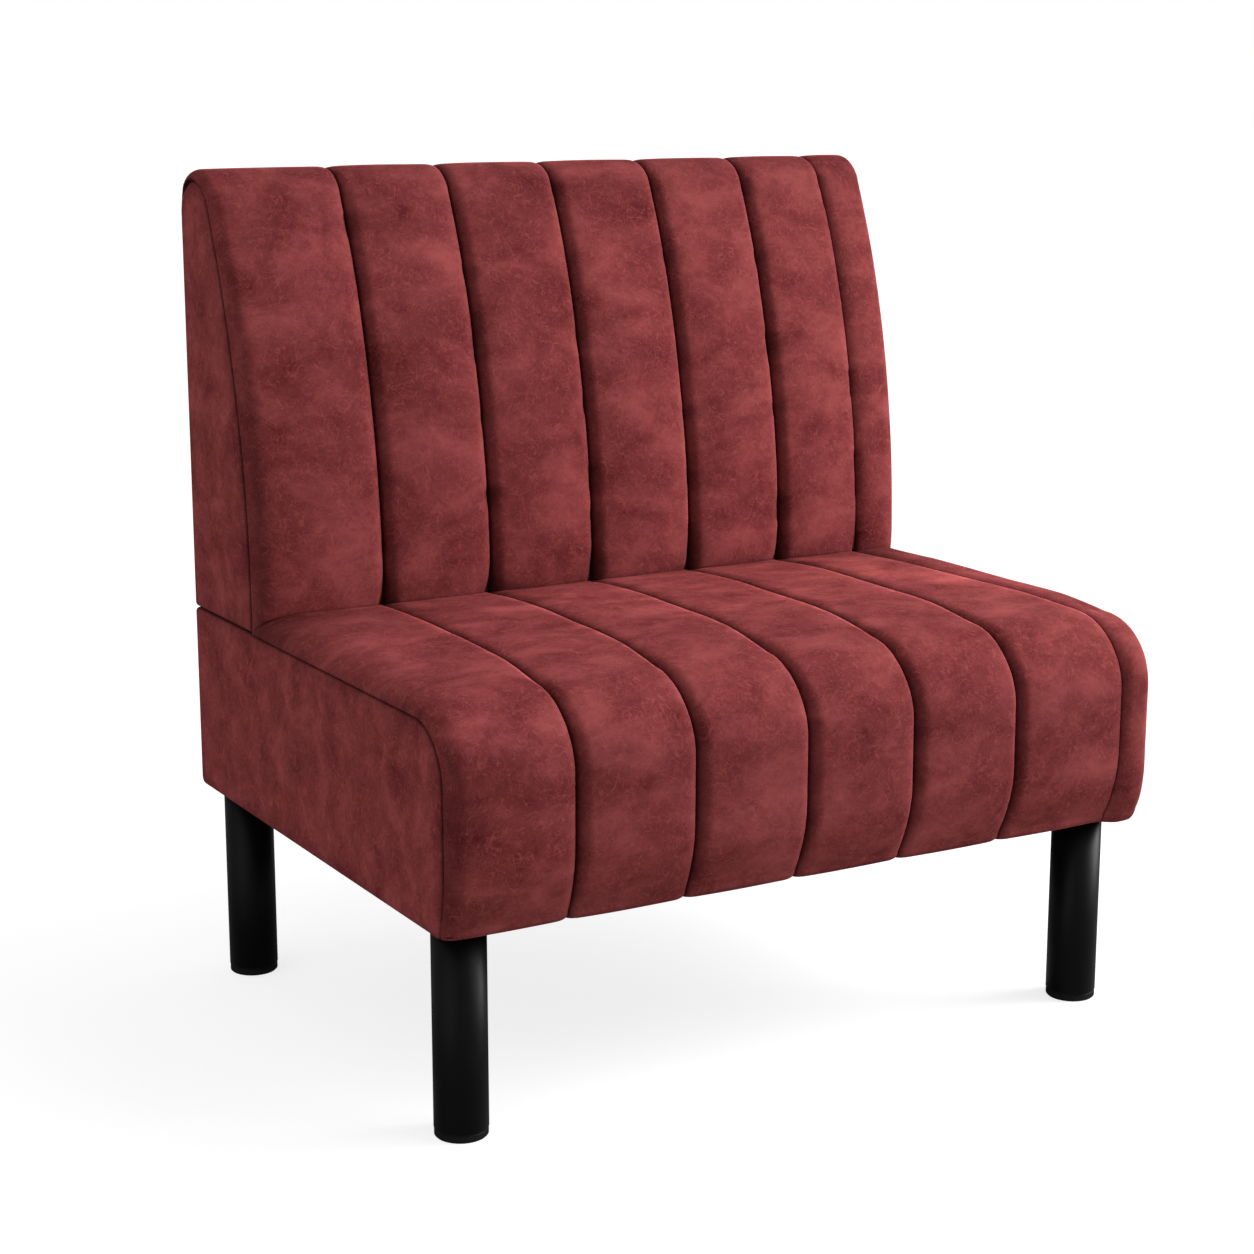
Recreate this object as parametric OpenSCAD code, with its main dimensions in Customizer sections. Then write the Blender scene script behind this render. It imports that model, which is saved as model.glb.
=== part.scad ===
// Banquette unit: a channelled seat and back on four round legs with screw-in levelling feet.
// The origin is on the floor under the middle of the unit; the front looks along -Y.

/* [Overall] */
// Width over the side panels
bench_w = 920; // [760:2:1400]
// Depth from the crowns of the front flutes to the rear face
bench_d = 713; // [640:1:800]
// Height of the side seam at the top of the back
back_seam_h = 994; // [880:2:1150]
// Height of the side seam at the top of the seat
seat_seam_h = 466; // [450:2:500]

/* [Flutes] */
// Width of the first flute, at the left
first_flute_w = 159; // [110:1:190]
// Width of each flute after the first; the last one takes what is left
flute_pitch = 143; // [100:1:200]
// Narrowest flute that is still sewn at the right
last_flute_min = 40; // [30:1:60]
// Height of a flute's crown over the side seam
flute_crown = 21; // [12:0.5:26]
// Height of the seams between flutes over the side seam
seam_rise = 6; // [2:0.5:10]
// Fullness of a flute: a low value is boxy, a high one is pointed
flute_round = 0.6; // [0.4:0.05:0.9]
// Share of the crown that is drawn in at the seat's lower edge
tuck_loss = 0.7; // [0:0.05:0.8]
// Share of the crown that is drawn in at the foot of the back
foot_loss = 0.4; // [0:0.05:0.6]
// Height over which the lower edges are drawn in
tuck_h = 90; // [40:5:150]
// How far the channels close up at the seat's lower edge and over the roll of the back
edge_flush = 0.7; // [0:0.05:0.9]
// How far the channels close up along the seat's top
top_flush = 0.8; // [0:0.05:0.9]

/* [Seat] */
// Radius of the seat's front edge along the side seam
seat_edge_r = 66; // [40:1:66]
// Height in its middle of the dome that the seat's top makes over the flutes' crowns
seat_dome = 9; // [0:0.5:14]
// Foam in front of the front rail
front_pad_t = 12; // [8:1:20]

/* [Back] */
// Thickness of the back at its foot, side seam to rear face
back_foot_d = 185; // [150:1:220]
// Height at the foot of the back that stands upright before it leans
back_upright_h = 34; // [10:1:80]
// Radius of the roll at the top of the back
back_top_r = 45; // [35:1:55]
// Height of the flutes' crowns over the seam at the top of the back
top_crown = 6; // [3:0.5:10]
// Foam in front of the back's panel at its foot
back_foam_foot = 55; // [40:1:70]
// Foam in front of the back's panel at its head
back_foam_head = 30; // [20:1:40]
// Room over the back's frame for the roll of foam at the top
back_roll_h = 64; // [60:1:90]

/* [Covers] */
// Thickness of the cover cloth and its scrim
cover_t = 2; // [1.5:0.1:3]
// Thickness of the side panels, cloth and fleece
side_cover_t = 3; // [2:0.1:5]
// Width of the hem that is stapled under the frame
hem_w = 20; // [12:1:30]
// Thickness of the hem
hem_t = 4.5; // [2:0.1:5]
// Thickness of the black cloth that closes the underside
lining_t = 1; // [0.5:0.1:1.5]

/* [Frame] */
// Thickness of the frame boards
board_t = 25; // [20:1:30]
// Height of the seat rails
rail_h = 130; // [115:1:134]
// Thickness of the seat deck
deck_t = 12; // [9:1:15]
// Diameter of the air holes in the deck
vent_d = 30; // [20:1:40]
// Thickness of the cross rails and of the ribs in the back
cross_t = 18; // [15:1:22]
// Height of the cross rails
cross_h = 90; // [60:1:110]
// Distance of the cross rails and ribs from the middle
cross_x = 150; // [100:5:200]
// Width of the corner blocks
block_w = 70; // [60:1:80]
// Height of the corner blocks
block_h = 55; // [45:1:60]
// Thickness of the back's front panel
front_panel_t = 6; // [4:0.5:9]
// Thickness of the back's rear panel
rear_panel_t = 4; // [3:0.5:6]

/* [Back brackets] */
// Width of the flat steel brackets
bracket_w = 50; // [40:1:60]
// Thickness of the brackets
bracket_t = 6; // [5:0.5:8]
// How far the brackets reach up inside the back
bracket_rise = 175; // [140:5:260]
// Diameter of the bracket bolts
bolt_d = 8; // [6:1:10]
// Distance of an outer bolt from the end of its bracket or rail
bolt_edge = 16; // [14:1:20]
// Height of the third bolt over the back's underside
bolt_over_foot = 40; // [38:1:60]

/* [Legs] */
// Height of the frame over the floor
leg_h = 245; // [150:5:300]
// Diameter of the leg tubes
leg_d = 60; // [50:1:66]
// Wall of the leg tubes
leg_wall = 2; // [1.5:0.1:3]
// Distance of a leg's axis from the side face
leg_side_inset = 41; // [41:1:60]
// Distance of a front leg's axis from the front side seam
leg_front_inset = 53; // [52:1:80]
// Distance of a rear leg's axis from the rear face
leg_rear_inset = 49; // [42:1:80]
// Width of the square plate on top of a leg
plate_w = 70; // [70:1:74]
// Thickness of the plate
plate_t = 3; // [2:0.1:3]
// Distance between the screw holes of a plate
plate_hole_pitch = 56; // [54:1:58]
// Corner radius of the plate
plate_corner_r = 6; // [2:1:8]
// Diameter of the leg screws
screw_d = 5; // [4:0.5:6]
// Length of the leg screws under the head
screw_l = 30; // [20:1:40]

/* [Levelling feet] */
// Diameter of the foot disc over its ribs
glide_d = 59; // [48:0.5:59]
// Height of the foot disc
glide_h = 8; // [7:0.5:12]
// Number of ribs round the foot disc
glide_ribs = 90; // [36:2:120]
// Depth of those ribs
glide_rib_depth = 0.6; // [0.4:0.1:1]
// Height of the groove between disc and tube, which the plug's flange fills
groove_h = 1.5; // [1:0.1:3]
// Depth of that groove
groove_depth = 1.5; // [1:0.1:3]
// Diameter of the foot's threaded stud
stud_d = 10; // [8:1:12]
// Length of the stud over the disc
stud_l = 44; // [40:1:60]
// Length of the plug inside the tube
plug_l = 22; // [18:1:30]
// Width across the flats of the nut in the plug
nut_af = 16; // [16:0.5:19]
// Height of the nut
nut_h = 8; // [6:0.5:9]

/* [Clearances] */
// Gap between a soft piece and what it lies on
soft_gap = 0.5; // [0.3:0.1:0.8]
// Gap between fixed hard pieces that fit in one another
fit_gap = 0.1; // [0.05:0.05:0.3]
// Radial gap of the stud in its nut and in the disc
run_gap = 0.05; // [0.02:0.01:0.1]
// Gap between a foot disc and the plug over it, fully screwed in
foot_gap = 0.3; // [0.2:0.1:0.6]
// Room round a bracket where it passes through a board
slot_gap = 1; // [0.5:0.5:2]

/* [Hidden] */
$fn = 48;

// Colours
cloth = "#7a3438";
plywood = "#c9a877";
beech = "#d8b98c";
foam = "#e8dfc4";
lining = "#222222";
black_steel = "#151515";
black_plastic = "#1b1b1b";
zinc = "#b8bcc0";

// Planes of the whole unit
half_w = bench_w / 2;
rear_y = bench_d / 2;
front_seam_y = -bench_d / 2 + flute_crown;
frame_z = leg_h;
cover_z = frame_z - hem_t;

// Everything inside the cover stays this far behind the seam line
pad_in = cover_t + soft_gap;
frame_half_w = half_w - side_cover_t - soft_gap;
frame_rear_y = rear_y - pad_in;
pad_front_y = front_seam_y + pad_in;
frame_front_y = pad_front_y + front_pad_t;
rail_top_z = frame_z + rail_h;
deck_top_z = rail_top_z + deck_t;
pad_top_z = seat_seam_h - pad_in;

// Underside and side seam of the back
back_z = seat_seam_h + soft_gap;
back_foot_y = rear_y - back_foot_d;
platform_y = back_foot_y + pad_in;
back_frame_rear_y = frame_rear_y - rear_panel_t;
back_frame_top_z = back_seam_h - back_roll_h;
flute_end_z = back_frame_top_z;

// The back's front is one large arc, upright at its foot, that runs into the roll at the top
lean_z = seat_seam_h + back_upright_h;
roll_y = rear_y - back_top_r;
roll_z = back_seam_h - back_top_r;
lean_r = (pow(back_foot_d - back_top_r, 2) - pow(back_top_r, 2) + pow(roll_z - lean_z, 2))
    / (2 * (back_foot_d - 2 * back_top_r));
lean_y = back_foot_y + lean_r;
roll_start = 180 - atan((roll_z - lean_z) / (lean_y - roll_y));
edge_steps = 8;
lean_steps = 6;
roll_steps = 8;

// Seams between the flutes, from left to right
pitches = floor((bench_w - first_flute_w - last_flute_min) / flute_pitch);
seams = concat(
    [-half_w],
    [for (i = [0:pitches]) -half_w + first_flute_w + i * flute_pitch],
    [half_w]
);
flutes = len(seams) - 1;
flute_steps = 8;

function lerp(a, b, t) = a + (b - a) * t;
function seam_height(k) = (k == 0 || k == flutes) ? 0 : seam_rise;

// Height of a flute over the side seam, t running from 0 to 1 between its two seams
function flute_height(t, a, b) =
    lerp(a, b, t) + (flute_crown - (a + b) / 2) * pow(1 - pow(2 * t - 1, 2), flute_round);

// Columns of the fluted covers: place across the width, height over the side seam, and that height
// where the channels are closed up: level across, and rounded only towards the two sides
columns = concat(
    [for (k = [0:flutes - 1], i = [0:flute_steps - 1])
        let (
            t = (1 - cos(180 * i / flute_steps)) / 2,
            h = i == 0 ? seam_height(k) : flute_height(t, seam_height(k), seam_height(k + 1)),
            outer = k == 0 && t < 0.5 || k == flutes - 1 && t > 0.5
        )
        [lerp(seams[k], seams[k + 1], t), h, outer ? h : flute_crown]],
    [[half_w, 0, 0]]
);

// Share of the crown that is left at a height over a lower edge
function tucked(h, loss) = 1 - loss * pow(1 - min(h / tuck_h, 1), 2);
function flush(h) = edge_flush * pow(1 - min(h / tuck_h, 1), 2);

// Share of the seat's dome across the width: all of it in the middle and none at the two sides
function domed(x) = 1 - pow(abs(x) / half_w, 2.5);

// Side seam of the seat, from the front's lower edge to the foot of the back.
// Each station is [y, z, normal y, normal z, share of the crown, how far the channels close up,
// share of the dome]. The dome and the closing up end in front of the flutes of the back.
top_end_y = back_foot_y - flute_crown;
edge_z = seat_seam_h - seat_edge_r;
edge_y = front_seam_y + seat_edge_r;
front_h = edge_z - cover_z;
seat_line = concat(
    [for (f = [0, 0.12, 0.3, 0.6]) let (h = f * front_h)
        [front_seam_y, cover_z + h, -1, 0, tucked(h, tuck_loss), flush(h), 0]],
    [for (i = [0:edge_steps]) let (a = 180 - 90 * i / edge_steps)
        [edge_y + seat_edge_r * cos(a), edge_z + seat_edge_r * sin(a), cos(a), sin(a), 1, 0, 0]],
    [for (p = [[0.1, 0.8, 0.45], [0.3, 1, 0.95], [0.75, 1, 0.9], [1, 0, 0]])
        [lerp(edge_y, top_end_y, p[0]), seat_seam_h, 0, 1, 1, top_flush * p[1], p[2]]],
    [[back_foot_y + cover_t, seat_seam_h, 0, 1, 1, 0, 0]]
);

// Side seam of the back, from its foot over the roll to the rear face
roll_share = 0.9;
roll_power = ln(top_crown / (roll_share * flute_crown)) / ln(90 / roll_start);
back_line = concat(
    [[back_foot_y, back_z, -1, 0, tucked(0, foot_loss), 0, 0]],
    [for (i = [0:lean_steps]) let (t = i / lean_steps, a = lerp(180, roll_start, t))
        [lean_y + lean_r * cos(a), lean_z + lean_r * sin(a), cos(a), sin(a),
            tucked(back_upright_h + 500 * t, foot_loss) * (1 - (1 - roll_share) * pow(t, 4)), 0, 0]],
    [for (i = [1:roll_steps]) let (a = roll_start * (1 - i / roll_steps))
        [roll_y + back_top_r * cos(a), roll_z + back_top_r * sin(a), cos(a), sin(a),
            roll_share * pow(a / roll_start, roll_power), edge_flush * sqrt(1 - a / roll_start), 0]],
    [[rear_y, flute_end_z, 1, 0, 0, 0, 0]]
);

// A fluted cover: crowned outside, and flat across the width inside, where it lies on the foam.
// With lift = 1 the lower edge follows the crowns of the flutes that it stands on.
module fluted_cover(line, lift) {
    m = len(line) - 1;
    n = len(columns) - 1;
    outer = [for (j = [0:m], c = columns)
        let (s = line[j], rise = lerp(c[1], c[2], s[5]) * s[4] + seat_dome * s[6] * domed(c[0]))
        [c[0], s[0] + s[2] * rise, s[1] + s[3] * rise + (j == 0 ? lift * c[1] : 0)]];
    first = [for (c = columns) [c[0], line[0][0] - cover_t * line[0][2],
        line[0][1] - cover_t * line[0][3] + lift * c[1]]];
    last = [for (c = columns) [c[0], line[m][0] - cover_t * line[m][2],
        line[m][1] - cover_t * line[m][3]]];
    middle = [for (j = [1:m - 1], x = [-half_w, half_w]) let (s = line[j])
        [x, s[0] - cover_t * s[2], s[1] - cover_t * s[3]]];
    function o(j, i) = j * (n + 1) + i;
    function p(i) = (m + 1) * (n + 1) + i;
    function q(i) = p(n) + 1 + i;
    function inner(j, side) =
        j == 0 ? p(side * n) : j == m ? q(side * n) : q(n) + 1 + 2 * (j - 1) + side;
    polyhedron(concat(outer, first, last, middle), concat(
        [for (j = [0:m - 1], i = [0:n - 1]) [o(j, i), o(j + 1, i), o(j + 1, i + 1)]],
        [for (j = [0:m - 1], i = [0:n - 1]) [o(j, i), o(j + 1, i + 1), o(j, i + 1)]],
        [for (i = [0:n - 1]) [p(i), p(i + 1), inner(1, 0)]],
        [[p(n), inner(1, 1), inner(1, 0)]],
        [for (j = [1:m - 2]) [inner(j, 0), inner(j, 1), inner(j + 1, 1)]],
        [for (j = [1:m - 2]) [inner(j, 0), inner(j + 1, 1), inner(j + 1, 0)]],
        [[inner(m - 1, 0), inner(m - 1, 1), q(n)]],
        [for (i = [0:n - 1]) [inner(m - 1, 0), q(i + 1), q(i)]],
        [for (i = [0:n - 1]) [o(0, i), o(0, i + 1), p(i + 1)]],
        [for (i = [0:n - 1]) [o(0, i), p(i + 1), p(i)]],
        [for (i = [0:n - 1]) [o(m, i + 1), o(m, i), q(i)]],
        [for (i = [0:n - 1]) [o(m, i + 1), q(i), q(i + 1)]],
        [for (j = [0:m - 1]) [o(j + 1, 0), o(j, 0), inner(j, 0)]],
        [for (j = [0:m - 1]) [o(j + 1, 0), inner(j, 0), inner(j + 1, 0)]],
        [for (j = [0:m - 1]) [o(j, n), o(j + 1, n), inner(j + 1, 1)]],
        [for (j = [0:m - 1]) [o(j, n), inner(j + 1, 1), inner(j, 1)]]
    ));
}

// The same two seam lines, moved inwards by d, for what lies under the cover
function seat_edge(d) = [for (i = [0:edge_steps]) let (a = 180 - 90 * i / edge_steps)
    [edge_y + (seat_edge_r - d) * cos(a), edge_z + (seat_edge_r - d) * sin(a)]];
function back_edge(d) = concat(
    [for (i = [0:lean_steps]) let (a = lerp(180, roll_start, i / lean_steps))
        [lean_y + (lean_r - d) * cos(a), lean_z + (lean_r - d) * sin(a)]],
    [for (i = [1:roll_steps]) let (a = roll_start * (1 - i / roll_steps))
        [roll_y + (back_top_r - d) * cos(a), roll_z + (back_top_r - d) * sin(a)]]
);

// An outline in Y and Z, extruded across the unit between two X planes
module across(x0, x1) {
    translate([x0, 0, 0]) rotate([90, 0, 90]) linear_extrude(x1 - x0) children();
}

// A block between two corners
module block(lo, hi) {
    translate(lo) cube(hi - lo);
}

// The left piece as drawn, or its mirror image at the right
module on_side(side) {
    mirror([side > 0 ? 1 : 0, 0, 0]) children();
}

// Legs: places, screws and holes
leg_x = half_w - leg_side_inset;
leg_front_y = front_seam_y + leg_front_inset;
leg_rear_y = rear_y - leg_rear_inset;
legs = [[-leg_x, leg_front_y], [leg_x, leg_front_y], [-leg_x, leg_rear_y], [leg_x, leg_rear_y]];
leg_screw_at = [for (p = legs, dx = [-1, 1], dy = [-1, 1]) p + [dx, dy] * plate_hole_pitch / 2];
leg_screw_tip_z = frame_z - plate_t + screw_l;
screw_head_h = 2.4;

module leg_screw_holes() {
    for (p = leg_screw_at)
        translate([p[0], p[1], cover_z])
            cylinder(d = screw_d + 2 * fit_gap, h = leg_screw_tip_z + 2 - cover_z);
}

// Room for the leg plates in the hems and in the lining
module plate_pockets() {
    pocket = plate_w / 2 + soft_gap;
    for (p = legs)
        block([p[0] - pocket, p[1] - pocket, cover_z - 1], [p[0] + pocket, p[1] + pocket, frame_z + 1]);
}

// Deck screws along the side rails and the cross rails
deck_screw_d = 4.5;
deck_screw_l = 35;
deck_head_d = 9;
deck_head_h = 3;
deck_screw_at = concat(
    [for (s = [-1, 1], f = [0.2, 0.5, 0.72])
        [s * (frame_half_w - board_t / 2), lerp(frame_front_y, frame_rear_y, f)]],
    [for (s = [-1, 1], f = [0.3, 0.7]) [s * cross_x, lerp(frame_front_y, frame_rear_y, f)]]
);

module deck_screw_holes() {
    for (p = deck_screw_at)
        translate([p[0], p[1], deck_top_z - deck_screw_l - 2]) {
            cylinder(d = deck_screw_d + 2 * fit_gap, h = deck_screw_l + 3);
            translate([0, 0, deck_screw_l + 2 - deck_head_h - fit_gap])
                cylinder(d = deck_head_d + 2 * fit_gap, h = deck_head_h + 1);
        }
}

// Brackets that carry the back: a flat bar inside each side, bolted to the seat rail and the stile
bracket_x = frame_half_w - board_t;
bracket_y = frame_rear_y - board_t - slot_gap - bracket_w / 2;
bracket_z = frame_z + block_h + slot_gap;
bracket_top_z = back_z + bracket_rise;
bolt_z = [bracket_z + bolt_edge, rail_top_z - bolt_edge, back_z + bolt_over_foot,
    bracket_top_z - bolt_edge];
bolt_head_h = 0.65 * bolt_d;
bolt_head_af = 1.625 * bolt_d;
tee_barrel_d = bolt_d + 2.4;
tee_barrel_l = 12;
tee_flange_d = 2.4 * bolt_d;
tee_flange_t = 1.5;

// Children at each bolt of the left bracket, +Z pointing out of the unit's left side
module at_bolts() {
    for (z = bolt_z)
        translate([-frame_half_w, bracket_y, z]) rotate([0, -90, 0]) children();
}

module bolt_holes() {
    for (side = [-1, 1])
        on_side(side)
            at_bolts() {
                translate([0, 0, -board_t - bracket_t - 1])
                    cylinder(d = bolt_d + 4 * fit_gap, h = board_t + bracket_t + 2);
                translate([0, 0, -tee_barrel_l - fit_gap])
                    cylinder(d = tee_barrel_d + 2 * fit_gap, h = tee_barrel_l + 1);
                translate([0, 0, -tee_flange_t - fit_gap])
                    cylinder(d = tee_flange_d + 2 * fit_gap, h = tee_flange_t + 1);
            }
}

module bracket_slots() {
    for (side = [-1, 1])
        on_side(side)
            block([-bracket_x - soft_gap, bracket_y - bracket_w / 2 - slot_gap / 2, rail_top_z - 1],
                [-bracket_x + bracket_t + slot_gap, bracket_y + bracket_w / 2 + slot_gap / 2,
                    back_z + board_t + 1]);
}

// Seat frame
module side_rail(side) {
    color(beech)
        difference() {
            on_side(side)
                block([-frame_half_w, frame_front_y, frame_z], [-bracket_x, frame_rear_y, rail_top_z]);
            leg_screw_holes();
            deck_screw_holes();
            bolt_holes();
        }
}

module seat_left_rail() { side_rail(-1); }
module seat_right_rail() { side_rail(1); }

module seat_front_rail() {
    color(beech)
        difference() {
            block([-bracket_x, frame_front_y, frame_z], [bracket_x, frame_front_y + board_t, rail_top_z]);
            leg_screw_holes();
        }
}

module seat_rear_rail() {
    color(beech)
        difference() {
            block([-bracket_x, frame_rear_y - board_t, frame_z], [bracket_x, frame_rear_y, rail_top_z]);
            leg_screw_holes();
        }
}

module seat_cross_rails() {
    color(beech)
        difference() {
            for (x = [-cross_x, cross_x])
                block([x - cross_t / 2, frame_front_y + board_t, rail_top_z - cross_h],
                    [x + cross_t / 2, frame_rear_y - board_t, rail_top_z]);
            deck_screw_holes();
        }
}

module seat_corner_blocks() {
    color(beech)
        difference() {
            for (side = [-1, 1], y = [frame_front_y + board_t, frame_rear_y - board_t - block_w])
                on_side(side)
                    block([-bracket_x, y, frame_z], [-bracket_x + block_w, y + block_w, frame_z + block_h]);
            leg_screw_holes();
        }
}

module seat_deck() {
    color(plywood)
        difference() {
            block([-frame_half_w, frame_front_y, rail_top_z], [frame_half_w, frame_rear_y, deck_top_z]);
            deck_screw_holes();
            bracket_slots();
            for (x = [-2, 0, 2], y = [-0.2, 0.2])
                translate([x * cross_x, y * bench_d, rail_top_z - 1]) cylinder(d = vent_d, h = deck_t + 2);
        }
}

module deck_screws() {
    color(zinc)
        for (p = deck_screw_at)
            translate([p[0], p[1], deck_top_z - deck_screw_l]) {
                cylinder(d = deck_screw_d, h = deck_screw_l);
                translate([0, 0, deck_screw_l - deck_head_h]) cylinder(d = deck_head_d, h = deck_head_h);
            }
}

// Seat upholstery
module seat_foam() {
    color(foam)
        difference() {
            across(-frame_half_w, frame_half_w)
                polygon(concat(
                    [[frame_front_y, deck_top_z], [frame_front_y, frame_z], [pad_front_y, frame_z]],
                    seat_edge(pad_in),
                    [[frame_rear_y, pad_top_z], [frame_rear_y, deck_top_z]]
                ));
            bracket_slots();
        }
}

// The seat's flutes, with the hem that is stapled under the front rail
front_hem_y = frame_front_y + hem_w;
hem_x = half_w - side_cover_t - hem_w - soft_gap;
module seat_cover_flutes() {
    color(cloth) {
        fluted_cover(seat_line, 0);
        difference() {
            block([-hem_x, front_seam_y, cover_z], [hem_x, front_hem_y, frame_z]);
            plate_pockets();
        }
    }
}

// A side panel with its hem; it reaches up to the back's underside behind the flutes
module seat_cover_side(side) {
    color(cloth)
        difference() {
            on_side(side) {
                across(-half_w, -half_w + side_cover_t)
                    polygon(concat(
                        [[rear_y, cover_z], [pad_front_y, cover_z]],
                        seat_edge(pad_in),
                        [[platform_y, pad_top_z], [platform_y, seat_seam_h], [rear_y, seat_seam_h]]
                    ));
                block([-half_w + side_cover_t, pad_front_y, cover_z],
                    [-half_w + side_cover_t + hem_w, rear_y - cover_t - soft_gap, frame_z]);
            }
            plate_pockets();
        }
}

module seat_cover_left() { seat_cover_side(-1); }
module seat_cover_right() { seat_cover_side(1); }

// The plain rear panel, its hem, and the platform cloth that the back stands on
rear_hem_y = frame_rear_y - hem_w;
module seat_cover_rear() {
    color(cloth)
        difference() {
            union() {
                block([-frame_half_w, rear_y - cover_t, cover_z], [frame_half_w, rear_y, seat_seam_h]);
                block([-frame_half_w, platform_y, seat_seam_h - cover_t],
                    [frame_half_w, rear_y, seat_seam_h]);
                block([-hem_x, rear_hem_y, cover_z], [hem_x, rear_y, frame_z]);
            }
            bracket_slots();
            plate_pockets();
        }
}

module seat_dust_cover() {
    color(lining)
        difference() {
            block([-hem_x, front_hem_y + soft_gap, frame_z - lining_t],
                [hem_x, rear_hem_y - soft_gap, frame_z]);
            plate_pockets();
        }
}

// Back frame: the boards follow the sloping front panel
panel_foot_y = platform_y + back_foam_foot;
panel_head_y = lean_y - sqrt(pow(lean_r - pad_in, 2) - pow(back_frame_top_z - lean_z, 2)) + back_foam_head;
function panel_y(z) =
    lerp(panel_foot_y, panel_head_y, (z - back_z) / (back_frame_top_z - back_z));

// Slice of the back's wedge behind the front panel, between two heights
module back_slice(z0, z1) {
    polygon([
        [panel_y(z0) + front_panel_t, z0], [back_frame_rear_y, z0],
        [back_frame_rear_y, z1], [panel_y(z1) + front_panel_t, z1]
    ]);
}

module back_stile(side) {
    color(plywood)
        difference() {
            on_side(side)
                across(-frame_half_w, -bracket_x) back_slice(back_z, back_frame_top_z);
            bolt_holes();
        }
}

module back_left_stile() { back_stile(-1); }
module back_right_stile() { back_stile(1); }

module back_bottom_rail() {
    color(plywood)
        difference() {
            across(-bracket_x, bracket_x) back_slice(back_z, back_z + board_t);
            bracket_slots();
        }
}

module back_top_rail() {
    color(plywood)
        across(-bracket_x, bracket_x) back_slice(back_frame_top_z - board_t, back_frame_top_z);
}

module back_mid_ribs() {
    color(plywood)
        for (x = [-cross_x, cross_x])
            across(x - cross_t / 2, x + cross_t / 2)
                back_slice(back_z + board_t, back_frame_top_z - board_t);
}

module back_front_panel() {
    color(plywood)
        across(-frame_half_w, frame_half_w)
            polygon([
                [panel_foot_y, back_z], [panel_foot_y + front_panel_t, back_z],
                [panel_head_y + front_panel_t, back_frame_top_z], [panel_head_y, back_frame_top_z]
            ]);
}

module back_rear_panel() {
    color(plywood)
        block([-frame_half_w, back_frame_rear_y, back_z], [frame_half_w, frame_rear_y, back_frame_top_z]);
}

// Back upholstery
module back_foam() {
    color(foam)
        across(-frame_half_w, frame_half_w)
            polygon(concat(
                [[panel_foot_y, back_z], [platform_y, back_z]],
                back_edge(pad_in),
                [[frame_rear_y, back_frame_top_z], [panel_head_y, back_frame_top_z]]
            ));
}

module back_cover_flutes() {
    color(cloth) fluted_cover(back_line, 1);
}

module back_cover_side(side) {
    color(cloth)
        on_side(side)
            across(-half_w, -half_w + side_cover_t)
                polygon(concat(
                    [[rear_y, back_z], [platform_y, back_z]],
                    back_edge(pad_in),
                    [[frame_rear_y, flute_end_z - soft_gap], [rear_y, flute_end_z - soft_gap]]
                ));
}

module back_cover_left() { back_cover_side(-1); }
module back_cover_right() { back_cover_side(1); }

module back_cover_rear() {
    color(cloth)
        block([-frame_half_w, rear_y - cover_t, back_z], [frame_half_w, rear_y, flute_end_z - soft_gap]);
}

// Brackets, bolts and tee nuts
module back_bracket(side) {
    color(zinc)
        difference() {
            on_side(side)
                block([-bracket_x, bracket_y - bracket_w / 2, bracket_z],
                    [-bracket_x + bracket_t, bracket_y + bracket_w / 2, bracket_top_z]);
            bolt_holes();
        }
}

module back_bracket_left() { back_bracket(-1); }
module back_bracket_right() { back_bracket(1); }

module bracket_bolts() {
    color(zinc)
        for (side = [-1, 1])
            on_side(side)
                at_bolts() {
                    translate([0, 0, -board_t - bracket_t])
                        cylinder(d = bolt_d, h = board_t + bracket_t - tee_flange_t);
                    translate([0, 0, -board_t - bracket_t - bolt_head_h])
                        cylinder(d = bolt_head_af / cos(30), h = bolt_head_h, $fn = 6);
                }
}

module bracket_nuts() {
    color(zinc)
        for (side = [-1, 1])
            on_side(side)
                at_bolts()
                    difference() {
                        union() {
                            translate([0, 0, -tee_barrel_l]) cylinder(d = tee_barrel_d, h = tee_barrel_l);
                            translate([0, 0, -tee_flange_t]) cylinder(d = tee_flange_d, h = tee_flange_t);
                        }
                        translate([0, 0, -tee_barrel_l - 1])
                            cylinder(d = bolt_d + 2 * fit_gap, h = tee_barrel_l + 2);
                    }
}

// Legs
plug_flange_z = glide_h + foot_gap;
tube_z = plug_flange_z + groove_h;
plate_z = frame_z - plate_t;

module leg_tube(p) {
    color(black_steel)
        translate([p[0], p[1], tube_z])
            difference() {
                cylinder(d = leg_d, h = plate_z - tube_z);
                translate([0, 0, -1]) cylinder(d = leg_d - 2 * leg_wall, h = plate_z - tube_z + 2);
            }
}

module leg_front_left() { leg_tube(legs[0]); }
module leg_front_right() { leg_tube(legs[1]); }
module leg_rear_left() { leg_tube(legs[2]); }
module leg_rear_right() { leg_tube(legs[3]); }

// The plate that is welded on the tube: a square with round corners and a hole at each corner
module leg_plate(p) {
    corner = plate_w / 2 - plate_corner_r;
    color(black_steel)
        difference() {
            translate([p[0], p[1], plate_z]) {
                block([-plate_w / 2, -corner, 0], [plate_w / 2, corner, plate_t]);
                block([-corner, -plate_w / 2, 0], [corner, plate_w / 2, plate_t]);
                for (x = [-corner, corner], y = [-corner, corner])
                    translate([x, y, 0]) cylinder(r = plate_corner_r, h = plate_t);
            }
            for (dx = [-1, 1], dy = [-1, 1])
                translate([p[0] + dx * plate_hole_pitch / 2, p[1] + dy * plate_hole_pitch / 2, plate_z - 1])
                    cylinder(d = screw_d + 1.5, h = plate_t + 2);
        }
}

module plate_front_left() { leg_plate(legs[0]); }
module plate_front_right() { leg_plate(legs[1]); }
module plate_rear_left() { leg_plate(legs[2]); }
module plate_rear_right() { leg_plate(legs[3]); }

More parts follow.
